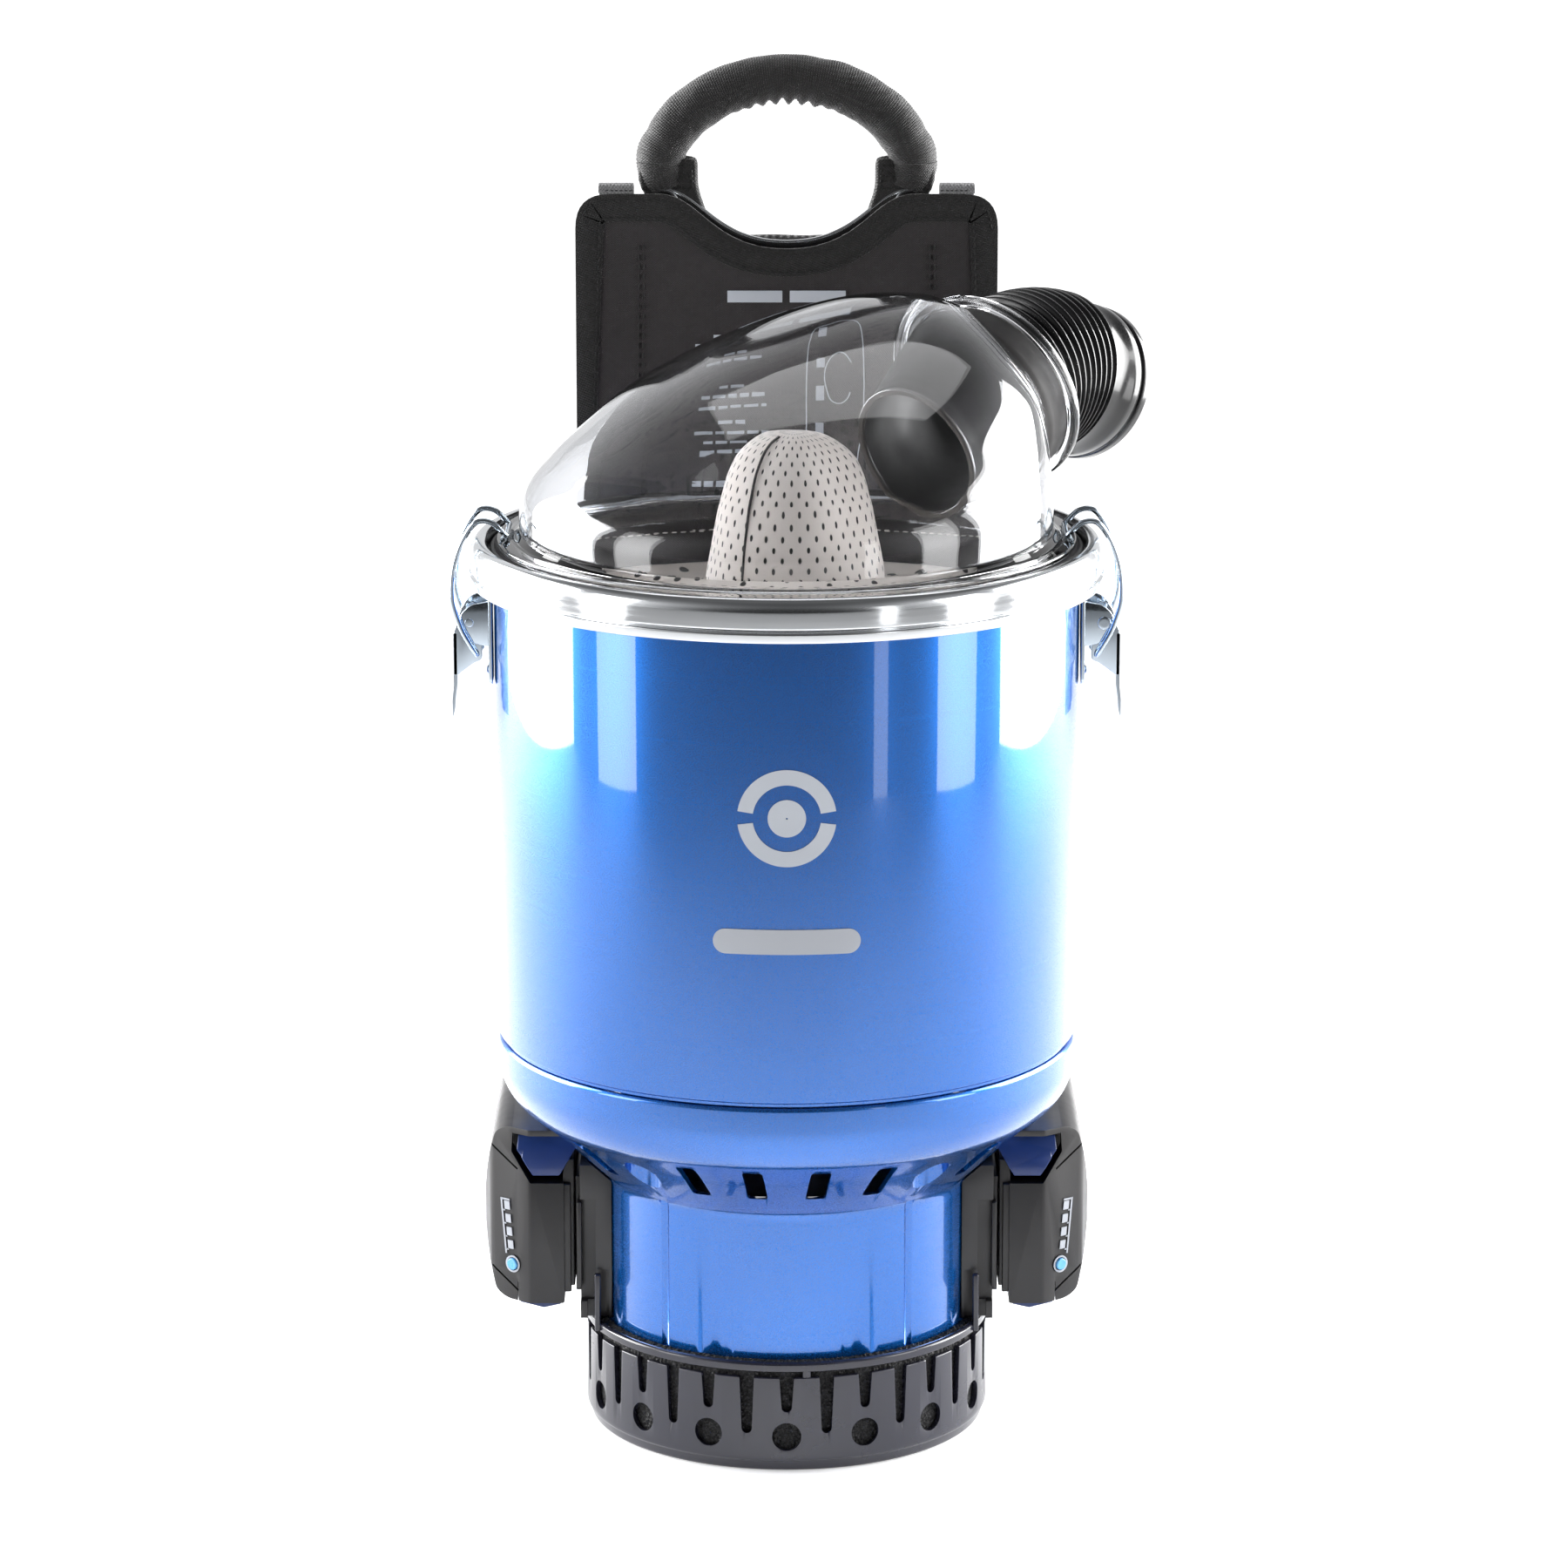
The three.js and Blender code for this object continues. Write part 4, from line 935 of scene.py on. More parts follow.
# ------------------------------------------------------------------ over-centre latches
PIVOT = (140.6, 369)
DRAW = (137.5, 355)


def build_latches(m):
    for side, turn in (("right", 0), ("left", 180)):
        plate = prism("plate", filleted([(-16, 343), (-13, 341), (13, 341), (16, 343), (16, 382), (13, 384),
                                         (-13, 384), (-16, 382), (-16, 343)], 1.5)[:-1], 130.35, 131.9, "side", 0.35)
        outline = filleted([(130.8, 358), (140, 360), (144.5, 365), (144.5, 373), (140, 377), (130.8, 379),
                            (130.8, 358)], 2.2)[:-1]
        ears = [prism("ear", outline, y, y + 1.5, "front", 0.3) for y in (-12.8, 11.3)]
        rivets = []
        for y, z in ((-8, 347), (8, 347), (-8, 380.2), (8, 380.2)):
            head = lathe("rivet", filleted([(0, 0), (2.3, 0), (2.3, 0.5), (1.2, 1.4), (0, 1.5)], 0.5), 28,
                         (1, 0, 0), (131.8, y, z))
            rivets.append(head)
        base = merged(f"latch_base_plate_{side}", [plate, *ears, *rivets])

        cheek = filleted([(135, 352), (139, 350.5), (146.2, 345), (147.8, 345), (147.8, 364), (145, 372),
                          (141, 374.5), (137, 372), (135.2, 362), (135, 352)], 2)[:-1]
        cheeks = [prism("cheek", cheek, y, y + 1.4, "front", 0.3) for y in (-11, 9.6)]
        back = [(146.3, 364), (146.3, 340), (147.1, 334), (147.4, 329), (149.0, 325.2), (150.1, 325.6), (149.0, 329.5),
                (148.6, 334), (147.8, 340), (147.8, 364)]
        back = [(min(a, 148.5), b) for a, b in back]
        tail = prism("tail", filleted([*back, back[0]], 0.6)[:-1], -11, 11, "front", 0.3)
        lever = merged(f"latch_lever_plate_{side}", [*cheeks, tail])

        tip = (123.5, 406.8 + 0.3 + 1.2 + 0.1)
        route = [DRAW, (140.5, 360), (144.5, 368), (147.8, 380), (147, 394), (143, 406), (137, 414.5), (130, 414.5), tip]
        wire = [(137.5, 0, 355), (137.5, 10, 355), (137.5, 13.6, 355)]
        wire += [(u, 14.5, z) for u, z in route[1:-1]]
        wire += [(tip[0] + 0.4, 14.2, tip[1] + 0.4), (tip[0], 12.2, tip[1])]
        wire += [(tip[0], y, tip[1]) for y in (6, 0)]
        loop = wire + [(u, -y, z) for u, y, z in wire[::-1][1:]]
        bail = tube(f"latch_bail_wire_{side}", curve_points(loop[:-1] + [loop[0]], 260), 1.2, 16, cap=False)

        pin = lathe(f"latch_pin_turned_{side}", filleted([(0, -13), (2, -13), (2, 13), (0, 13)], 0.4), 32, (0, 1, 0),
                    (PIVOT[0], 0, PIVOT[1]))
        head = lathe("head", filleted([(0, 0), (2.9, 0), (2.9, 0.6), (1.8, 0.7), (0, 0.7)], 0.25), 32, (0, -1, 0),
                     (PIVOT[0], -12.85, PIVOT[1]))
        pin = merged(f"latch_pin_turned_{side}", [pin, head])
        for obj, node, body in ((base, "base", "shell"), (lever, "lever", f"latch_lever_{side}"),
                                (bail, "bail", f"latch_bail_{side}"), (pin, "pin", "shell")):
            rotated(obj, turn)
            smooth(obj, 35)
            place(obj, m["latch_steel"], body, "steel", f"latch_{node}_{side}")


# ------------------------------------------------------------------ battery packs and docks
SLANT_A = Vector((116, -26))
SLANT_B = Vector((134, -13))
SLANT_ANGLE = math.degrees(math.atan2(SLANT_B.y - SLANT_A.y, SLANT_B.x - SLANT_A.x))
SLANT_MIDDLE = (SLANT_A + SLANT_B) / 2


def on_slant(obj):
    """Takes a piece drawn in front of the plane y = 0 to the middle of the slanted face."""
    obj.data.transform(Matrix.Translation((SLANT_MIDDLE.x * MM, SLANT_MIDDLE.y * MM, 0))
                       @ Matrix.Rotation(math.radians(SLANT_ANGLE), 4, "Z"))
    return obj


def battery_case():
    plan = filleted([(100.5, -26, 1), (116, -26, 1.2), (134, -13, 2.5), (137.6, -2, 6), (137.6, 86, 4), (134, 89, 4),
                     (100.5, 89, 2), (100.5, -26)], 1.5)[:-1]
    body = prism("case", plan, 57, 138.5, "plan", 0)
    front = filleted([(100.5, 57), (126.5, 57, 3), (131.8, 60, 4), (135.4, 76, 12), (137.6, 97.7, 30),
                      (135.4, 120, 12), (131.8, 135, 4), (126.5, 138.5, 3), (100.5, 138.5), (100.5, 57)], 1.2, 8)[:-1]
    carved(body, prism("tool", front, -40, 100, "front", 0), "INTERSECT")
    # Shallow side flank panel, step along the top and the recesses for the release buttons.
    top_room = [(88, 113.6), (115.6, 113.6), (124.2, 127), (123.6, 135.8), (88, 135.8)]
    carved(body, prism("tool", top_room, -32, -6.5, "front", 0))
    bottom_room = [(101.2, 50), (121.8, 50), (121.8, 65.8), (101.2, 65.8)]
    carved(body, prism("tool", bottom_room, -22, -7, "front", 0))
    for z in (60.5, 128.5):
        slash = prism("tool", [(-0.45, -9), (0.45, -9), (0.45, 9), (-0.45, 9)], -1.0, 4, "front", 0)
        rotated(slash, 58 if z > 100 else -122, axis="Y")
        slash.data.transform(Matrix.Translation((0, 0, (z if z < 100 else 126) * MM)))
        tool = on_slant(slash)
        tool.data.transform(Matrix.Translation((0.004, 0.0, 0.006 if z < 100 else -0.002)))
        carved(body, tool)
    carved(body, block("tool", (136.4, 141), (-4, 76), (82, 114), 0))
    carved(body, on_slant(lathe("tool", [(0, -3), (3.1, -3), (3.1, 3), (0, 3)], 32, (0, -1, 0), (-1.5, 0, 74))))
    smooth(body, 30)
    body = smooth(bevelled(body, 0.55, 3, 28), 34)
    neck = [block("neck", (95.8, 101), (-22, 85), (64, 124), 0.6),
            block("neck_step", (97.4, 101), (-25, -21), (62, 113), 0.5)]
    return merged("battery_case", [body, *neck])


def release_top():
    """The upper release button: a faceted thumb rest that slopes back towards its top."""
    outline = [(95.2, 134.8), (121, 134.8), (121.6, 128.4), (114.4, 117), (102.5, 117), (95.2, 129)]
    button = prism("release_top", outline, -25.2, -7.2, "front", 0)
    carved(button, prism("tool", [(-40, 120.5), (-25.4, 120.5), (-19.5, 136.5), (-40, 136.5)], 80, 130, "side", 0))
    carved(button, prism("tool", [(113, 140), (126, 140), (126, 116), (121.5, 121)], -40, -22.6, "front", 0))
    return smooth(bevelled(smooth(button, 25), 0.6, 3, 25), 35)


def release_bottom():
    outline = [(102.2, 62), (102.2, 55), (110, 53.2), (120.8, 56), (120.8, 62)]
    return smooth(bevelled(prism("release_bottom", outline, -21.2, -7.8, "front", 0), 0.5, 3, 25), 35)


def gauge_marks():
    """The printed charge gauge: an open slanted frame round four bars."""
    low, high = 78.5, 104.5
    pieces = []

    def lean(z):
        return 0.10 * (z - low)

    def slip(x0, x1, z0, z1):
        quad = [(x0 + lean(z0), z0), (x1 + lean(z0), z0), (x1 + lean(z1), z1), (x0 + lean(z1), z1)]
        return prism("mark", quad, -0.62, -0.32, "front", 0)

    frame_line = slip(1.7, 2.5, low, high)
    pieces.append(frame_line)
    pieces.append(slip(-2.6, 2.0, high - 0.8, high))
    for k in range(4):
        z = low + 2.6 + 6.1 * k
        pieces.append(slip(-2.4, 0.6, z, z + 3.9))
        pieces.append(slip(0.6, 2.0, z - 0.9, z - 0.3))
    ring = lathe("mark", [(3.15, 0.32), (3.95, 0.32), (3.95, 0.62), (3.15, 0.62), (3.15, 0.32)], 40, (0, -1, 0),
                 (-1.5, 0, 74))
    return on_slant(merged("gauge_marks", [*pieces, ring]))


def gauge_button():
    body = lathe("gauge_button", filleted([(0, -1.8), (2.7, -1.8), (2.7, 1.5, 0.7), (0, 1.2)], 0.4), 40, (0, -1, 0),
                 (-1.5, 0, 74))
    return on_slant(body)


def battery_dock():
    z = (52, 124)
    blank = block("dock", (66, 93), (-32, 62), z, 0)
    carved(blank, block("tool", (86, 94), (-34, -27), (60, 108), 0))
    grown = lathe("tool", [(0, 0), (85.1, 0), (85.1, 116.5), (111.5, 141.5), (123.5, 150.5), (0, 160)], 160)
    carved(blank, grown)
    carved(blank, block("tool", (80, 90), (-40, -29), (45, 75), 0))
    smooth(blank, 30)
    blank = smooth(bevelled(blank, 0.8, 3, 40), 36)
    rail = block("rail", (92.6, 95.3), (-22, 62), (62, 116), 0.5)
    lip = block("lip", (92.4, 94.6), (-30, -24), (66, 106), 0.5)
    return merged("battery_dock", [blank, rail, lip])


def build_batteries(m):
    pieces = (
        (battery_dock(), "battery_dock", "charcoal", "battery_dock", "shell"),
        (battery_case(), "battery_case", "charcoal", "battery_case", "battery"),
        (release_top(), "release_top", "navy", "release_top", "release_top"),
        (release_bottom(), "release_bottom", "navy", "release_bottom", "release_bottom"),
        (gauge_marks(), "gauge_panel", "print", "gauge_panel", "battery"),
        (gauge_button(), "gauge_button", "sky_blue", "gauge_button", "gauge_button"),
    )
    materials = {"print": "print_grey"}
    for obj, node, slot, name, body in pieces:
        obj.name = f"{name}_moulded_right"
        twin = mirrored(obj, f"{name}_moulded_left")
        for side, piece in (("right", obj), ("left", twin)):
            target = body if body == "shell" else f"{body}_{side}"
            place(piece, m[materials.get(slot, slot)], target, slot, f"{node}_{side}")


# ------------------------------------------------------------------ power switch
def build_switch(m):
    bezel = block("switch_bezel_frame", (-13, 13), (86, 91), (71, 101), 0)
    carved(bezel, block("well", (-8, 8), (80, 95), (75.2, 96.8), 0))
    bezel = smooth(bevelled(smooth(bezel), 0.9, 3, 40), 35)
    housing = [block("well_wall", (x, x + 1.4), (80, 87), (74, 98), 0.2) for x in (-9.6, 8.2)]
    place(merged("switch_bezel_moulded", [bezel, *housing]), m["black_gloss"], "shell", "black_gloss", "switch_bezel")

    rocker = block("power_rocker_moulded", (-7.6, 7.6), (87.4, 92.6), (76, 96), 0)
    dish = lathe("dish", [(0, -12), (26, -12), (26, 12), (0, 12)], 96, (1, 0, 0), (0, 117.4, 86))
    carved(rocker, dish)
    for z in (79, 81, 83):
        carved(rocker, block("line", (-5, 5), (91.4, 94), (z - 0.3, z + 0.3), 0))
    rocker = smooth(bevelled(smooth(rocker), 0.5, 3, 40), 35)
    rotated(rocker, -7, (0, 90, 86), "X")
    rocker.name = "power_rocker_moulded"
    place(rocker, m["black_gloss"], "power_rocker", "black_gloss", "power_rocker")


# ------------------------------------------------------------------ harness
COVER_FRONT = 152.7
COVER_BACK = 157.7
COVER_TOP = 536.6


def neck_outline(half, low, top, dip, neck=59.5, corner=16, steps=40):
    """Front outline of a panel whose top edge dips in a round neck."""
    def bezier(a, b, c, d):
        out = []
        for k in range(steps + 1):
            t = k / steps
            out.append(tuple(Vector(a) * (1 - t) ** 3 + Vector(b) * 3 * t * (1 - t) ** 2
                             + Vector(c) * 3 * t * t * (1 - t) + Vector(d) * t ** 3))
        return out

    right = bezier((neck, top), (neck - 20, top), (neck - 24, dip), (0, dip))
    shoulder = filleted([(half, low), (half, top), (neck, top)], corner, 8)
    points = [(half, low), *shoulder[1:-1], *right]
    points += [(-x, z) for x, z in points[::-1][1:]]
    return points


def inset(outline, distance):
    """The outline moved inward along its own normals."""
    out = []
    for i, point in enumerate(outline):
        before, after = Vector(outline[i - 1]), Vector(outline[(i + 1) % len(outline)])
        if (after - before).length < 1e-6:
            continue
        along = (after - before).normalized()
        out.append(tuple(Vector(point) + Vector((-along.y, along.x)) * distance))
    return out


def band_along(name, outer, inner, low, high):
    """A flat band between two outlines with the same number of points."""
    n = len(outer)
    points = [(x, y, z) for ring, y in ((outer, low), (inner, low), (inner, high), (outer, high)) for x, z in ring]
    faces = []
    for i in range(n):
        j = (i + 1) % n
        for a, b in ((0, 1), (1, 2), (2, 3), (3, 0)):
            faces.append([a * n + i, a * n + j, b * n + j, b * n + i])
    return smooth(mesh_object(name, points, faces), 30)


def fabric_panel(name, outline, low, high, voxel=2.2, rumple=0.35):
    """A stiff fabric panel with soft edges and slight unevenness."""
    panel = prism(name, outline, low, high, "front", 1.6, 4)
    applied(panel, "REMESH", mode="VOXEL", voxel_size=voxel * MM)
    applied(panel, "SMOOTH", iterations=2, factor=0.5)
    for v in panel.data.vertices:
        v.co.y += noise.noise(v.co * 24) * rumple * MM
    panel.data.shade_smooth()
    return panel


def cushion(name, outline, low, high, seams=(), voxel=5.0, pressure=4.0, cap=7):
    """A padded form: its closed cover is blown up a little by a cloth simulation, and held down at its seams."""
    pad = prism(name, outline, low, high, "front", 3.0, 3)
    applied(pad, "REMESH", mode="VOXEL", voxel_size=voxel * MM)
    rest = [v.co.copy() for v in pad.data.vertices]
    pins = pad.vertex_groups.new(name="held")
    middle = (low + high) / 2 * MM
    for v in pad.data.vertices:
        near = min((abs(v.co.dot(Vector(axis)) / MM - at) for axis, at in seams), default=99)
        if near < 0.6 * voxel or v.co.y < middle - 0.2 * (high - low) * MM:
            pins.add([v.index], 1.0, "ADD")
    modifier = pad.modifiers.new("cloth", "CLOTH")
    settings = modifier.settings
    settings.quality = 5
    settings.mass = 0.3
    settings.vertex_group_mass = "held"
    settings.use_pressure = True
    settings.uniform_pressure_force = pressure
    settings.effector_weights.gravity = 0
    modifier.collision_settings.use_collision = False
    for number in range(1, 21):
        bpy.context.scene.frame_set(number)
    mesh = bpy.data.meshes.new_from_object(pad.evaluated_get(bpy.context.evaluated_depsgraph_get()))
    bpy.context.scene.frame_set(1)
    pad.modifiers.clear()
    pad.data = mesh
    for v, start in zip(pad.data.vertices, rest):
        moved = v.co - start
        if moved.length > cap * MM:
            v.co = start + moved.normalized() * cap * MM
    applied(pad, "SMOOTH", iterations=2, factor=0.5)
    applied(pad, "SUBSURF", levels=1)
    for v in pad.data.vertices:
        v.co += v.normal * noise.noise(v.co * 60) * 0.5 * MM
    pad.data.shade_smooth()
    return pad


def printed_rows(m):
    """Blank bars where the photograph shows printed lines, so that no words are copied."""
    front = COVER_FRONT - 0.62
    rows = ((470, 14), (465.6, 31), (448.5, 14), (444, 31), (439.5, 33), (431.5, 13), (427, 36), (422, 27),
            (417, 30), (405.6, 36))
    bars = [block("bar", (-27.5, -2), (front, front + 0.3), (486, 491.5), 0.1),
            block("bar", (1.5, 27.5), (front, front + 0.3), (486, 491.5), 0.1)]
    for z, width in rows:
        left = -27 - width / 2
        while left < -27 + width / 2 - 2:
            long = min(RANDOM.uniform(4, 9), -27 + width / 2 - left)
            bars.append(block("bar", (left, left + long), (front, front + 0.3), (z - 0.75, z + 0.75), 0))
            left += long + 1.4
    for x, z in ((13, 473), (13, 457), (13, 441), (13, 425)):
        bars.append(block("bar", (x, x + 4), (front, front + 0.3), (z, z + 5.5), 0))
    place(merged("printed_rows_blank", bars), m["print_silver"], "shell", "print")
    loop = [(24 + 7 * math.cos(a), COVER_FRONT - 0.5, 452 + 13 * math.sin(a)) for a in np.linspace(0.6, 5.6, 40)]
    side = [(9, COVER_FRONT - 0.5, 412), (9, COVER_FRONT - 0.5, 470), (17, COVER_FRONT - 0.5, 480),
            (33, COVER_FRONT - 0.5, 478), (36, COVER_FRONT - 0.5, 440), (33, COVER_FRONT - 0.5, 412)]
    for name, path in (("printed_outline_blank", side), ("printed_loop_blank", loop)):
        place(tube(name, curve_points(path, 60), 0.28, 6), m["print_silver"], "shell", "print")


def build_cover(m):
    outline = neck_outline(98, 380, COVER_TOP, 511)
    place(fabric_panel("harness_cover_cloth", outline, COVER_FRONT, COVER_BACK), m["dark_cloth"], "shell", "dark_cloth",
          "harness_cover")
    tape_width = 13
    inner = inset(outline, tape_width)
    inner = [(x, max(z, 380.2)) for x, z in inner]
    tape = band_along("cover_binding", outline, inner, COVER_FRONT - 0.75, COVER_FRONT + 0.6)
    smooth(bevelled(tape, 0.35, 2, 40), 40)
    place(tape, m["binding"], "shell", "webbing")
    for name, distance in (("cover_stitch_outer", 3.0), ("cover_stitch_inner", 11.2)):
        row = [(x, COVER_FRONT - 0.8, z) for x, z in inset(outline, distance) if z > 384]
        stitches(name, row, 3.4, m["thread_black"], "shell", "webbing", 0.38)
    for side in (1, -1):
        for x in (67.4, 69.6):
            row = [(side * (x - 0.01 * (z - 400)), COVER_FRONT - 0.25, z) for z in np.linspace(386, 517, 60)]
            stitches(f"cover_channel_{'right' if side > 0 else 'left'}_{x:.0f}", row, 4.6, m["thread_black"], "shell",
                     "webbing", 0.5)
    printed_rows(m)

    # The bright wire edge of the frame that shows along the neck.
    edge = neck_outline(98, 380, COVER_TOP + 0.6, 512.4)
    neck = [(x, 158.9, z + 0.9) for x, z in edge if abs(x) < 63 and z > 500]
    place(tube("frame_wire", curve_points(neck, 150), 1.05, 12), m["rim_steel"], "shell", "steel")
    for side in (1, -1):
        kink = [(side * 60, 157.4, 538.2), (side * 53.5, 156.8, 536.6), (side * 49.5, 156.6, 531.6),
                (side * 48.2, 156.6, 529.6), (side * 37.5, 156.6, 519.4), (side * 36.0, 156.8, 516.0)]
        name = "frame_hook_right" if side > 0 else "frame_hook_left"
        place(tube(name, curve_points(kink, 50), 0.8, 10), m["rim_steel"], "shell", "steel")


HANDLE_PATH = ((-55.5, 538), (-58.5, 546), (-57.5, 556), (-46, 572), (-26, 584.2), (0, 588.8), (26, 584.2), (46, 572),
               (57.5, 556), (58.5, 546), (55.5, 538))


def build_handle(m):
    y = 163.5
    rings, sides = 760, 44
    path = curve_points([(x, y, z) for x, z in HANDLE_PATH], rings)
    points, faces = [], []
    for i, here in enumerate(path):
        share = i / (rings - 1)
        ahead, behind = path[min(i + 1, rings - 1)], path[max(i - 1, 0)]
        along = (ahead - behind).normalized()
        depth = Vector((0, 1, 0))
        outward = depth.cross(along).normalized()
        if outward.z < 0:
            outward = -outward
        arch = abs(share - 0.5) * 2
        body = 11.2 - 2.0 * max(0, (arch - 0.80) / 0.20) ** 1.4
        flat = 1 - 0.25 * max(0, (arch - 0.84) / 0.16)
        rib = 0.16 * math.sin(share * 2 * math.pi * 175)
        for k in range(sides):
            turn = 2 * math.pi * k / sides
            under = max(0, -math.sin(turn)) ** 2
            middle = math.exp(-((share - 0.5) / 0.115) ** 2)
            gather = under * middle * (1.5 * math.sin((share - 0.5) * 2 * math.pi * 25 + 0.6 * math.sin(3 * turn)) - 0.6)
            twist = 0.45 * math.sin(share * 60 + 3 * turn) * noise.noise(Vector((share * 9, turn, 1.7)))
            fold = 0.8 * math.exp(-((arch - 0.74) / 0.03) ** 2) * math.sin(turn * 2 + 1)
            r = body + rib + gather + twist + fold
            r = min(r, 12.0)
            points.append(tuple(here + depth * (r * flat * math.cos(turn)) + outward * (r * math.sin(turn))))
    for i in range(rings - 1):
        faces += [[i * sides + k, i * sides + (k + 1) % sides, (i + 1) * sides + (k + 1) % sides, (i + 1) * sides + k]
                  for k in range(sides)]
    faces += [list(range(sides))[::-1], [(rings - 1) * sides + k for k in range(sides)]]
    sleeve = smooth(mesh_object("carry_handle_sleeve", points, faces), 80)
    place(sleeve, m["webbing"], "shell", "webbing", "carry_handle")

    for side in (1, -1):
        name = "right" if side > 0 else "left"
        tab = filleted([(41, 553), (69, 553), (69, 540), (56, 518), (34, 518), (41, 538), (41, 553)], 4, 5)[:-1]
        tab = [(side * x, z) for x, z in tab][::side]
        for layer, (low, high) in enumerate(((158.2, 160.4), (160.8, 165.8))):
            place(fabric_panel(f"handle_tab_{name}_{layer + 1}", tab, low, high, 1.4, 0.5), m["webbing"], "shell", "webbing")
        box_path = [(side * 44, 157.9, 549), (side * 65, 157.9, 549), (side * 64, 157.9, 541), (side * 43.5, 157.9, 538),
                    (side * 44, 157.9, 549)]
        stitches(f"handle_box_stitch_{name}", box_path, 2.4, m["thread_black"], "shell", "webbing", 0.4)
        zigzag = [(side * (45 + 2.4 * k), 157.9, 541.5 + 4.8 * (k % 2)) for k in range(9)]
        stitches(f"handle_zigzag_{name}", zigzag, 1.9, m["thread_black"], "shell", "webbing", 0.36)


def build_loops(m):
    for side, name in ((1, "right"), (-1, "left")):
        route = [(0, 152.9, 536.9), (0, 152.9, 538.9), (0, 154.4, 540.1), (0, 160.4, 540.3), (0, 162.2, 538.4),
                 (0, 162.2, 532), (0, 162.2, 517)]
        centre = curve_points(route, 60)
        points, faces = [], []
        columns = 34
        for i, here in enumerate(centre):
            ahead, behind = centre[min(i + 1, 59)], centre[max(i - 1, 0)]
            along = (ahead - behind).normalized()
            normal = along.cross(Vector((1, 0, 0)))
            for k in range(columns):
                across = side * (71 + 16 * k / (columns - 1))
                ripple = 0.12 * (k % 2)
                points.append(tuple(Vector((across, here.y, here.z)) + normal * ripple))
        for i in range(59):
            for k in range(columns - 1):
                a = i * columns + k
                faces.append([a, a + 1, a + columns + 1, a + columns])
        loop = mesh_object(f"webbing_loop_woven_{name}", points, faces)
        applied(loop, "SOLIDIFY", thickness=1.1 * MM, offset=0)
        place(smooth(loop, 50), m["grey_webbing"], "shell", "grey_webbing", f"webbing_loop_{name}")
        row = [(side * x, 152.2, 538.2) for x in (71.5, 79, 86.5)]
        stitches(f"loop_stitch_{name}", row, 2.2, m["thread_black"], "shell", "webbing", 0.3)


def build_pads(m):
    back = [(-88, 200), (88, 200), (95, 216), (95, 500), (80, 515.7), (-80, 515.7), (-95, 500), (-95, 216)]
    seams = [((0, 0, 1), z) for z in (262, 324, 386, 448)]
    pad = cushion("back_pad_quilted", filleted([*back, back[0]], 14, 5)[:-1], 160.4, 176.5, seams, cap=6)
    place(pad, m["spacer_cloth"], "shell", "dark_cloth", "back_pad")

    for side, name in ((1, "right"), (-1, "left")):
        centre = curve_points([(50, 508, 0), (62, 470, 0), (70, 420, 0), (70, 360, 0), (58, 300, 0)], 26)
        right = [(side * (p.x + 21), p.y) for p in centre]
        left = [(side * (p.x - 21), p.y) for p in centre]
        outline = filleted([*right, *left[::-1], right[0]], 6, 3)[:-1]
        strap = cushion(f"shoulder_strap_padded_{name}", outline[::side], 178.4, 187.0, (), cap=5, pressure=3)
        place(strap, m["dark_cloth"], "shell", "dark_cloth", f"shoulder_strap_{name}")
        for edge, offset in (("outer", 17.5), ("inner", -17.5)):
            row = [(side * (p.x + offset), 188.4, p.y) for p in centre[1:-1]]
            stitches(f"strap_stitch_{edge}_{name}", row, 3.6, m["thread_black"], "shell", "webbing", 0.45)
        webbing = [(side * p.x, 190.2, p.y) for p in centre[7:21]]
        ribbon_strip(f"strap_webbing_{name}", webbing, 12.5, m["webbing"])

    lumbar = [(-112, 205), (-60, 196), (60, 196), (112, 205), (112, 248), (60, 258), (-60, 258), (-112, 248)]
    seams = [((1, 0, 0), x) for x in (-62, 62)]
    pad = cushion("lumbar_pad_padded", filleted([*lumbar, lumbar[0]], 14, 5)[:-1], 178.4, 191.0, seams, cap=5)
    place(pad, m["spacer_cloth"], "shell", "dark_cloth", "lumbar_pad")

    belt = [(-104, 195.4, 227), (0, 195.4, 227), (104, 195.4, 227)]
    place(ribbon_strip("waist_belt_webbing", belt, 16, m["webbing"], 2.4), m["webbing"], "shell", "webbing", "waist_belt")


def ribbon_strip(name, path, half, material, thick=1.4):
    """Flat webbing lying in a plane of constant y: rows of ribs run across it."""
    centre = curve_points(path, 90)
    points, faces = [], []
    columns = 28
    for i, here in enumerate(centre):
        ahead, behind = centre[min(i + 1, len(centre) - 1)], centre[max(i - 1, 0)]
        along = (ahead - behind).normalized()
        across = along.cross(Vector((0, 1, 0))).normalized()
        for k in range(columns):
            share = 2 * k / (columns - 1) - 1
            lift = 0.14 * ((i + k) % 2)
            points.append(tuple(here + across * (share * half) + Vector((0, lift, 0))))
    for i in range(len(centre) - 1):
        for k in range(columns - 1):
            a = i * columns + k
            faces.append([a, a + 1, a + columns + 1, a + columns])
    strip = mesh_object(name, points, faces)
    applied(strip, "SOLIDIFY", thickness=thick * MM, offset=0)
    return place(smooth(strip, 50), material, "shell", "webbing")


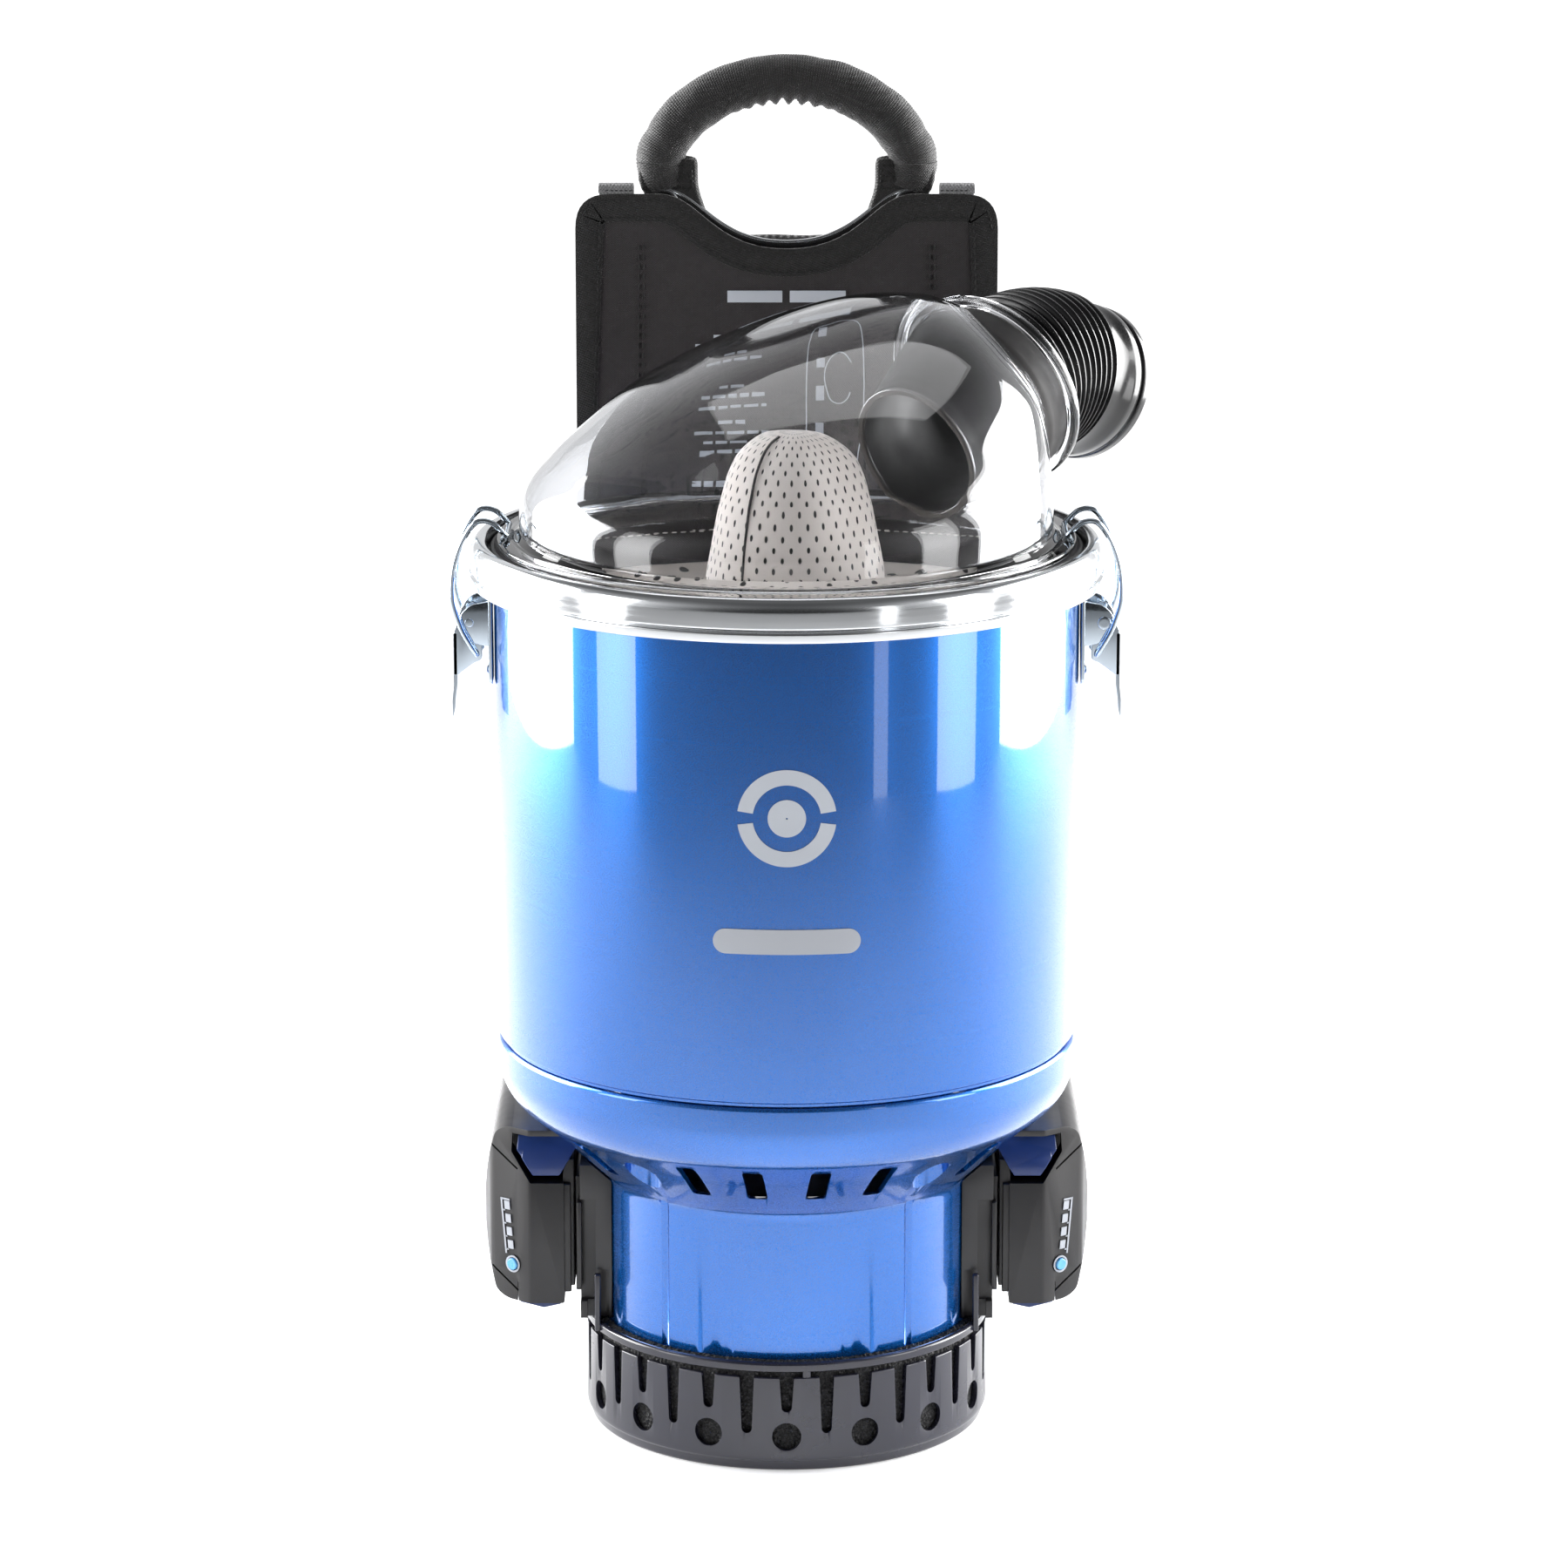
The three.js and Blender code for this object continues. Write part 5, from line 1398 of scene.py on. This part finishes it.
def build_buckle(m):
    """Side-release buckle: a socket with two side windows, and a prong end with a belt bar."""
    y0, y1 = 196.7, 207.0
    socket = prism("socket", filleted([(-34, 207), (4, 207), (7, 212), (7, 242), (4, 247), (-34, 247), (-34, 207)], 3, 5)[:-1],
                   y0, y1, "front", 1.6, 4)
    for z in (207, 247):
        carved(socket, prism("window", filleted([(-16, z - 5), (-1, z - 5), (-1, z + 5), (-16, z + 5), (-16, z - 5)],
                                               2, 4)[:-1], 190, 215, "front", 0))
    carved(socket, block("belt_slot", (-31, -27), (190, 215), (211, 243), 0.5))
    smooth(socket, 35)
    prong = prism("prong", filleted([(8, 210), (34, 210), (34, 244), (8, 244), (8, 210)], 3, 5)[:-1], y0 + 1, y1 - 1,
                  "front", 1.4, 4)
    carved(prong, block("belt_slot", (26, 30), (190, 215), (213, 241), 0.5))
    smooth(prong, 35)
    arms = [prism("arm", filleted([(-14, z - 3), (8, z - 2.4), (8, z + 2.4), (-14, z + 3), (-14, z - 3)], 1.5, 4)[:-1],
                  y0 + 2.4, y1 - 2.4, "front", 0.8) for z in (208.6, 245.4)]
    place(merged("belt_buckle_moulded", [socket, prong, *arms]), m["black_gloss"], "shell", "black_gloss", "belt_buckle")


# ------------------------------------------------------------------ carried-over CAD pieces
def repaint(material, *nodes):
    for node in nodes:
        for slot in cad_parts[node].material_slots:
            slot.material = material


def build_floor():
    """Plain pale paper that glows a little behind the object, like a lit backdrop."""
    plane = mesh_object("floor", [(-15000, -15000, 0), (15000, -15000, 0), (15000, 15000, 0), (-15000, 15000, 0)],
                        [[0, 1, 2, 3]])
    g = Graph("floor_paper")
    g.colour(g.mix(g.remap(g.noise(2, 3), 0, 1), (0.93, 0.93, 0.93), (0.95, 0.95, 0.95)))
    glow = g.remap(g.split(g.place())[1], 0.0, 0.97, -0.9, 1.8)
    g.set(Roughness=0.9, Specular_IOR_Level=0.1, Emission_Color=(1, 1, 1, 1))
    g.link(glow, g.shader.inputs["Emission Strength"])
    plane.data.materials.append(g.material)


def make_materials():
    return {
        "paint_blue": paint_blue(),
        "rim_steel": polished_steel("rim_steel"),
        "latch_steel": polished_steel("latch_steel", (0.60, 0.68, 0.76), 0.1, (200, 200, 200)),
        "dull_steel": polished_steel("dull_steel", (0.5, 0.5, 0.5), 0.35, (60, 60, 300)),
        "rubber": moulded("rubber", (0.012, 0.012, 0.013), 0.55, 0.00005, 700),
        "print_silver": moulded("print_silver", (0.50, 0.53, 0.58), 0.35, 0.00001, 900, spread=0.05),
        "print_grey": moulded("print_grey", (0.40, 0.42, 0.46), 0.4, 0.00001, 900, spread=0.05),
        "bag_cloth": perforated(),
        "dark_cloth": woven("dark_cloth", (0.020, 0.0172, 0.0182)),
        "spacer_cloth": woven("spacer_cloth", (0.011, 0.010, 0.011), 0.0034, 0.0009, 0.92, 0.3),
        "binding": woven("binding", (0.0045, 0.004, 0.004), 0.0016, 0.0003, 0.85, 0.2, (1, 0, 0.4), (-0.4, 0, 1)),
        "webbing": woven("webbing", (0.0055, 0.0048, 0.0048), 0.0013, 0.00025, 0.72, 0.3, (1, 0.3, 0), (0, 0.3, 1)),
        "grey_webbing": woven("grey_webbing", (0.17, 0.17, 0.175), 0.0016, 0.0004, 0.8, 0.2),
        "thread_white": moulded("thread_white", (0.6, 0.58, 0.55), 0.8, 0.0001, 2000),
        "thread_black": moulded("thread_black", (0.006, 0.006, 0.006), 0.7, 0.0001, 2000),
        "clear": clear_plastic(),
        "black_gloss": moulded("black_gloss", (0.004, 0.004, 0.0045), 0.2, 0.00002, 500, coat=0.35),
        "black_satin": moulded("black_satin", (0.010, 0.0085, 0.0085), 0.62, 0.00003, 600),
        # A lighter copy of the sleeve's black: a painted highlight for the lip of the inlet sleeve.
        "sleeve_lip_painted_highlight": moulded("sleeve_lip_painted_highlight", (0.085, 0.078, 0.074), 0.22, 0.00002, 600, coat=0.4),
        "black_hose": moulded("black_hose", (0.004, 0.004, 0.0045), 0.26, 0.00002, 500, coat=0.15),
        "slate": moulded("slate", (0.014, 0.014, 0.024), 0.24, 0.00002, 600, coat=0.4),
        "charcoal": moulded("charcoal", (0.011, 0.010, 0.0105), 0.36, 0.00005, 1500, coat=0.08),
        "navy": moulded("navy", (0.006, 0.026, 0.125), 0.36, 0.00005, 1500, coat=0.1),
        "sky_blue": moulded("sky_blue", (0.12, 0.42, 0.78), 0.25, 0.00002, 600, coat=0.5),
        "foam": open_foam(),
    }


bpy.context.scene.view_settings.view_transform = "Standard"
make_camera()
make_lights()
make_world()
build_floor()
MATERIALS = make_materials()
for build in (build_canister, emblem_on_canister, build_bag, build_lid, build_inlet, build_guard, build_housing,
              build_latches, build_batteries, build_switch, build_cover, build_handle, build_loops, build_pads,
              build_buckle):
    build(MATERIALS)
repaint(MATERIALS["dull_steel"], "motor_can", "motor_shaft", "fan_impeller")
repaint(MATERIALS["charcoal"], "motor_mount", "intake_grille", "bag_cage", "bracket_upper", "bracket_lower")
repaint(MATERIALS["rubber"], "motor_seal")
repaint(MATERIALS["black_gloss"], "harness_frame")
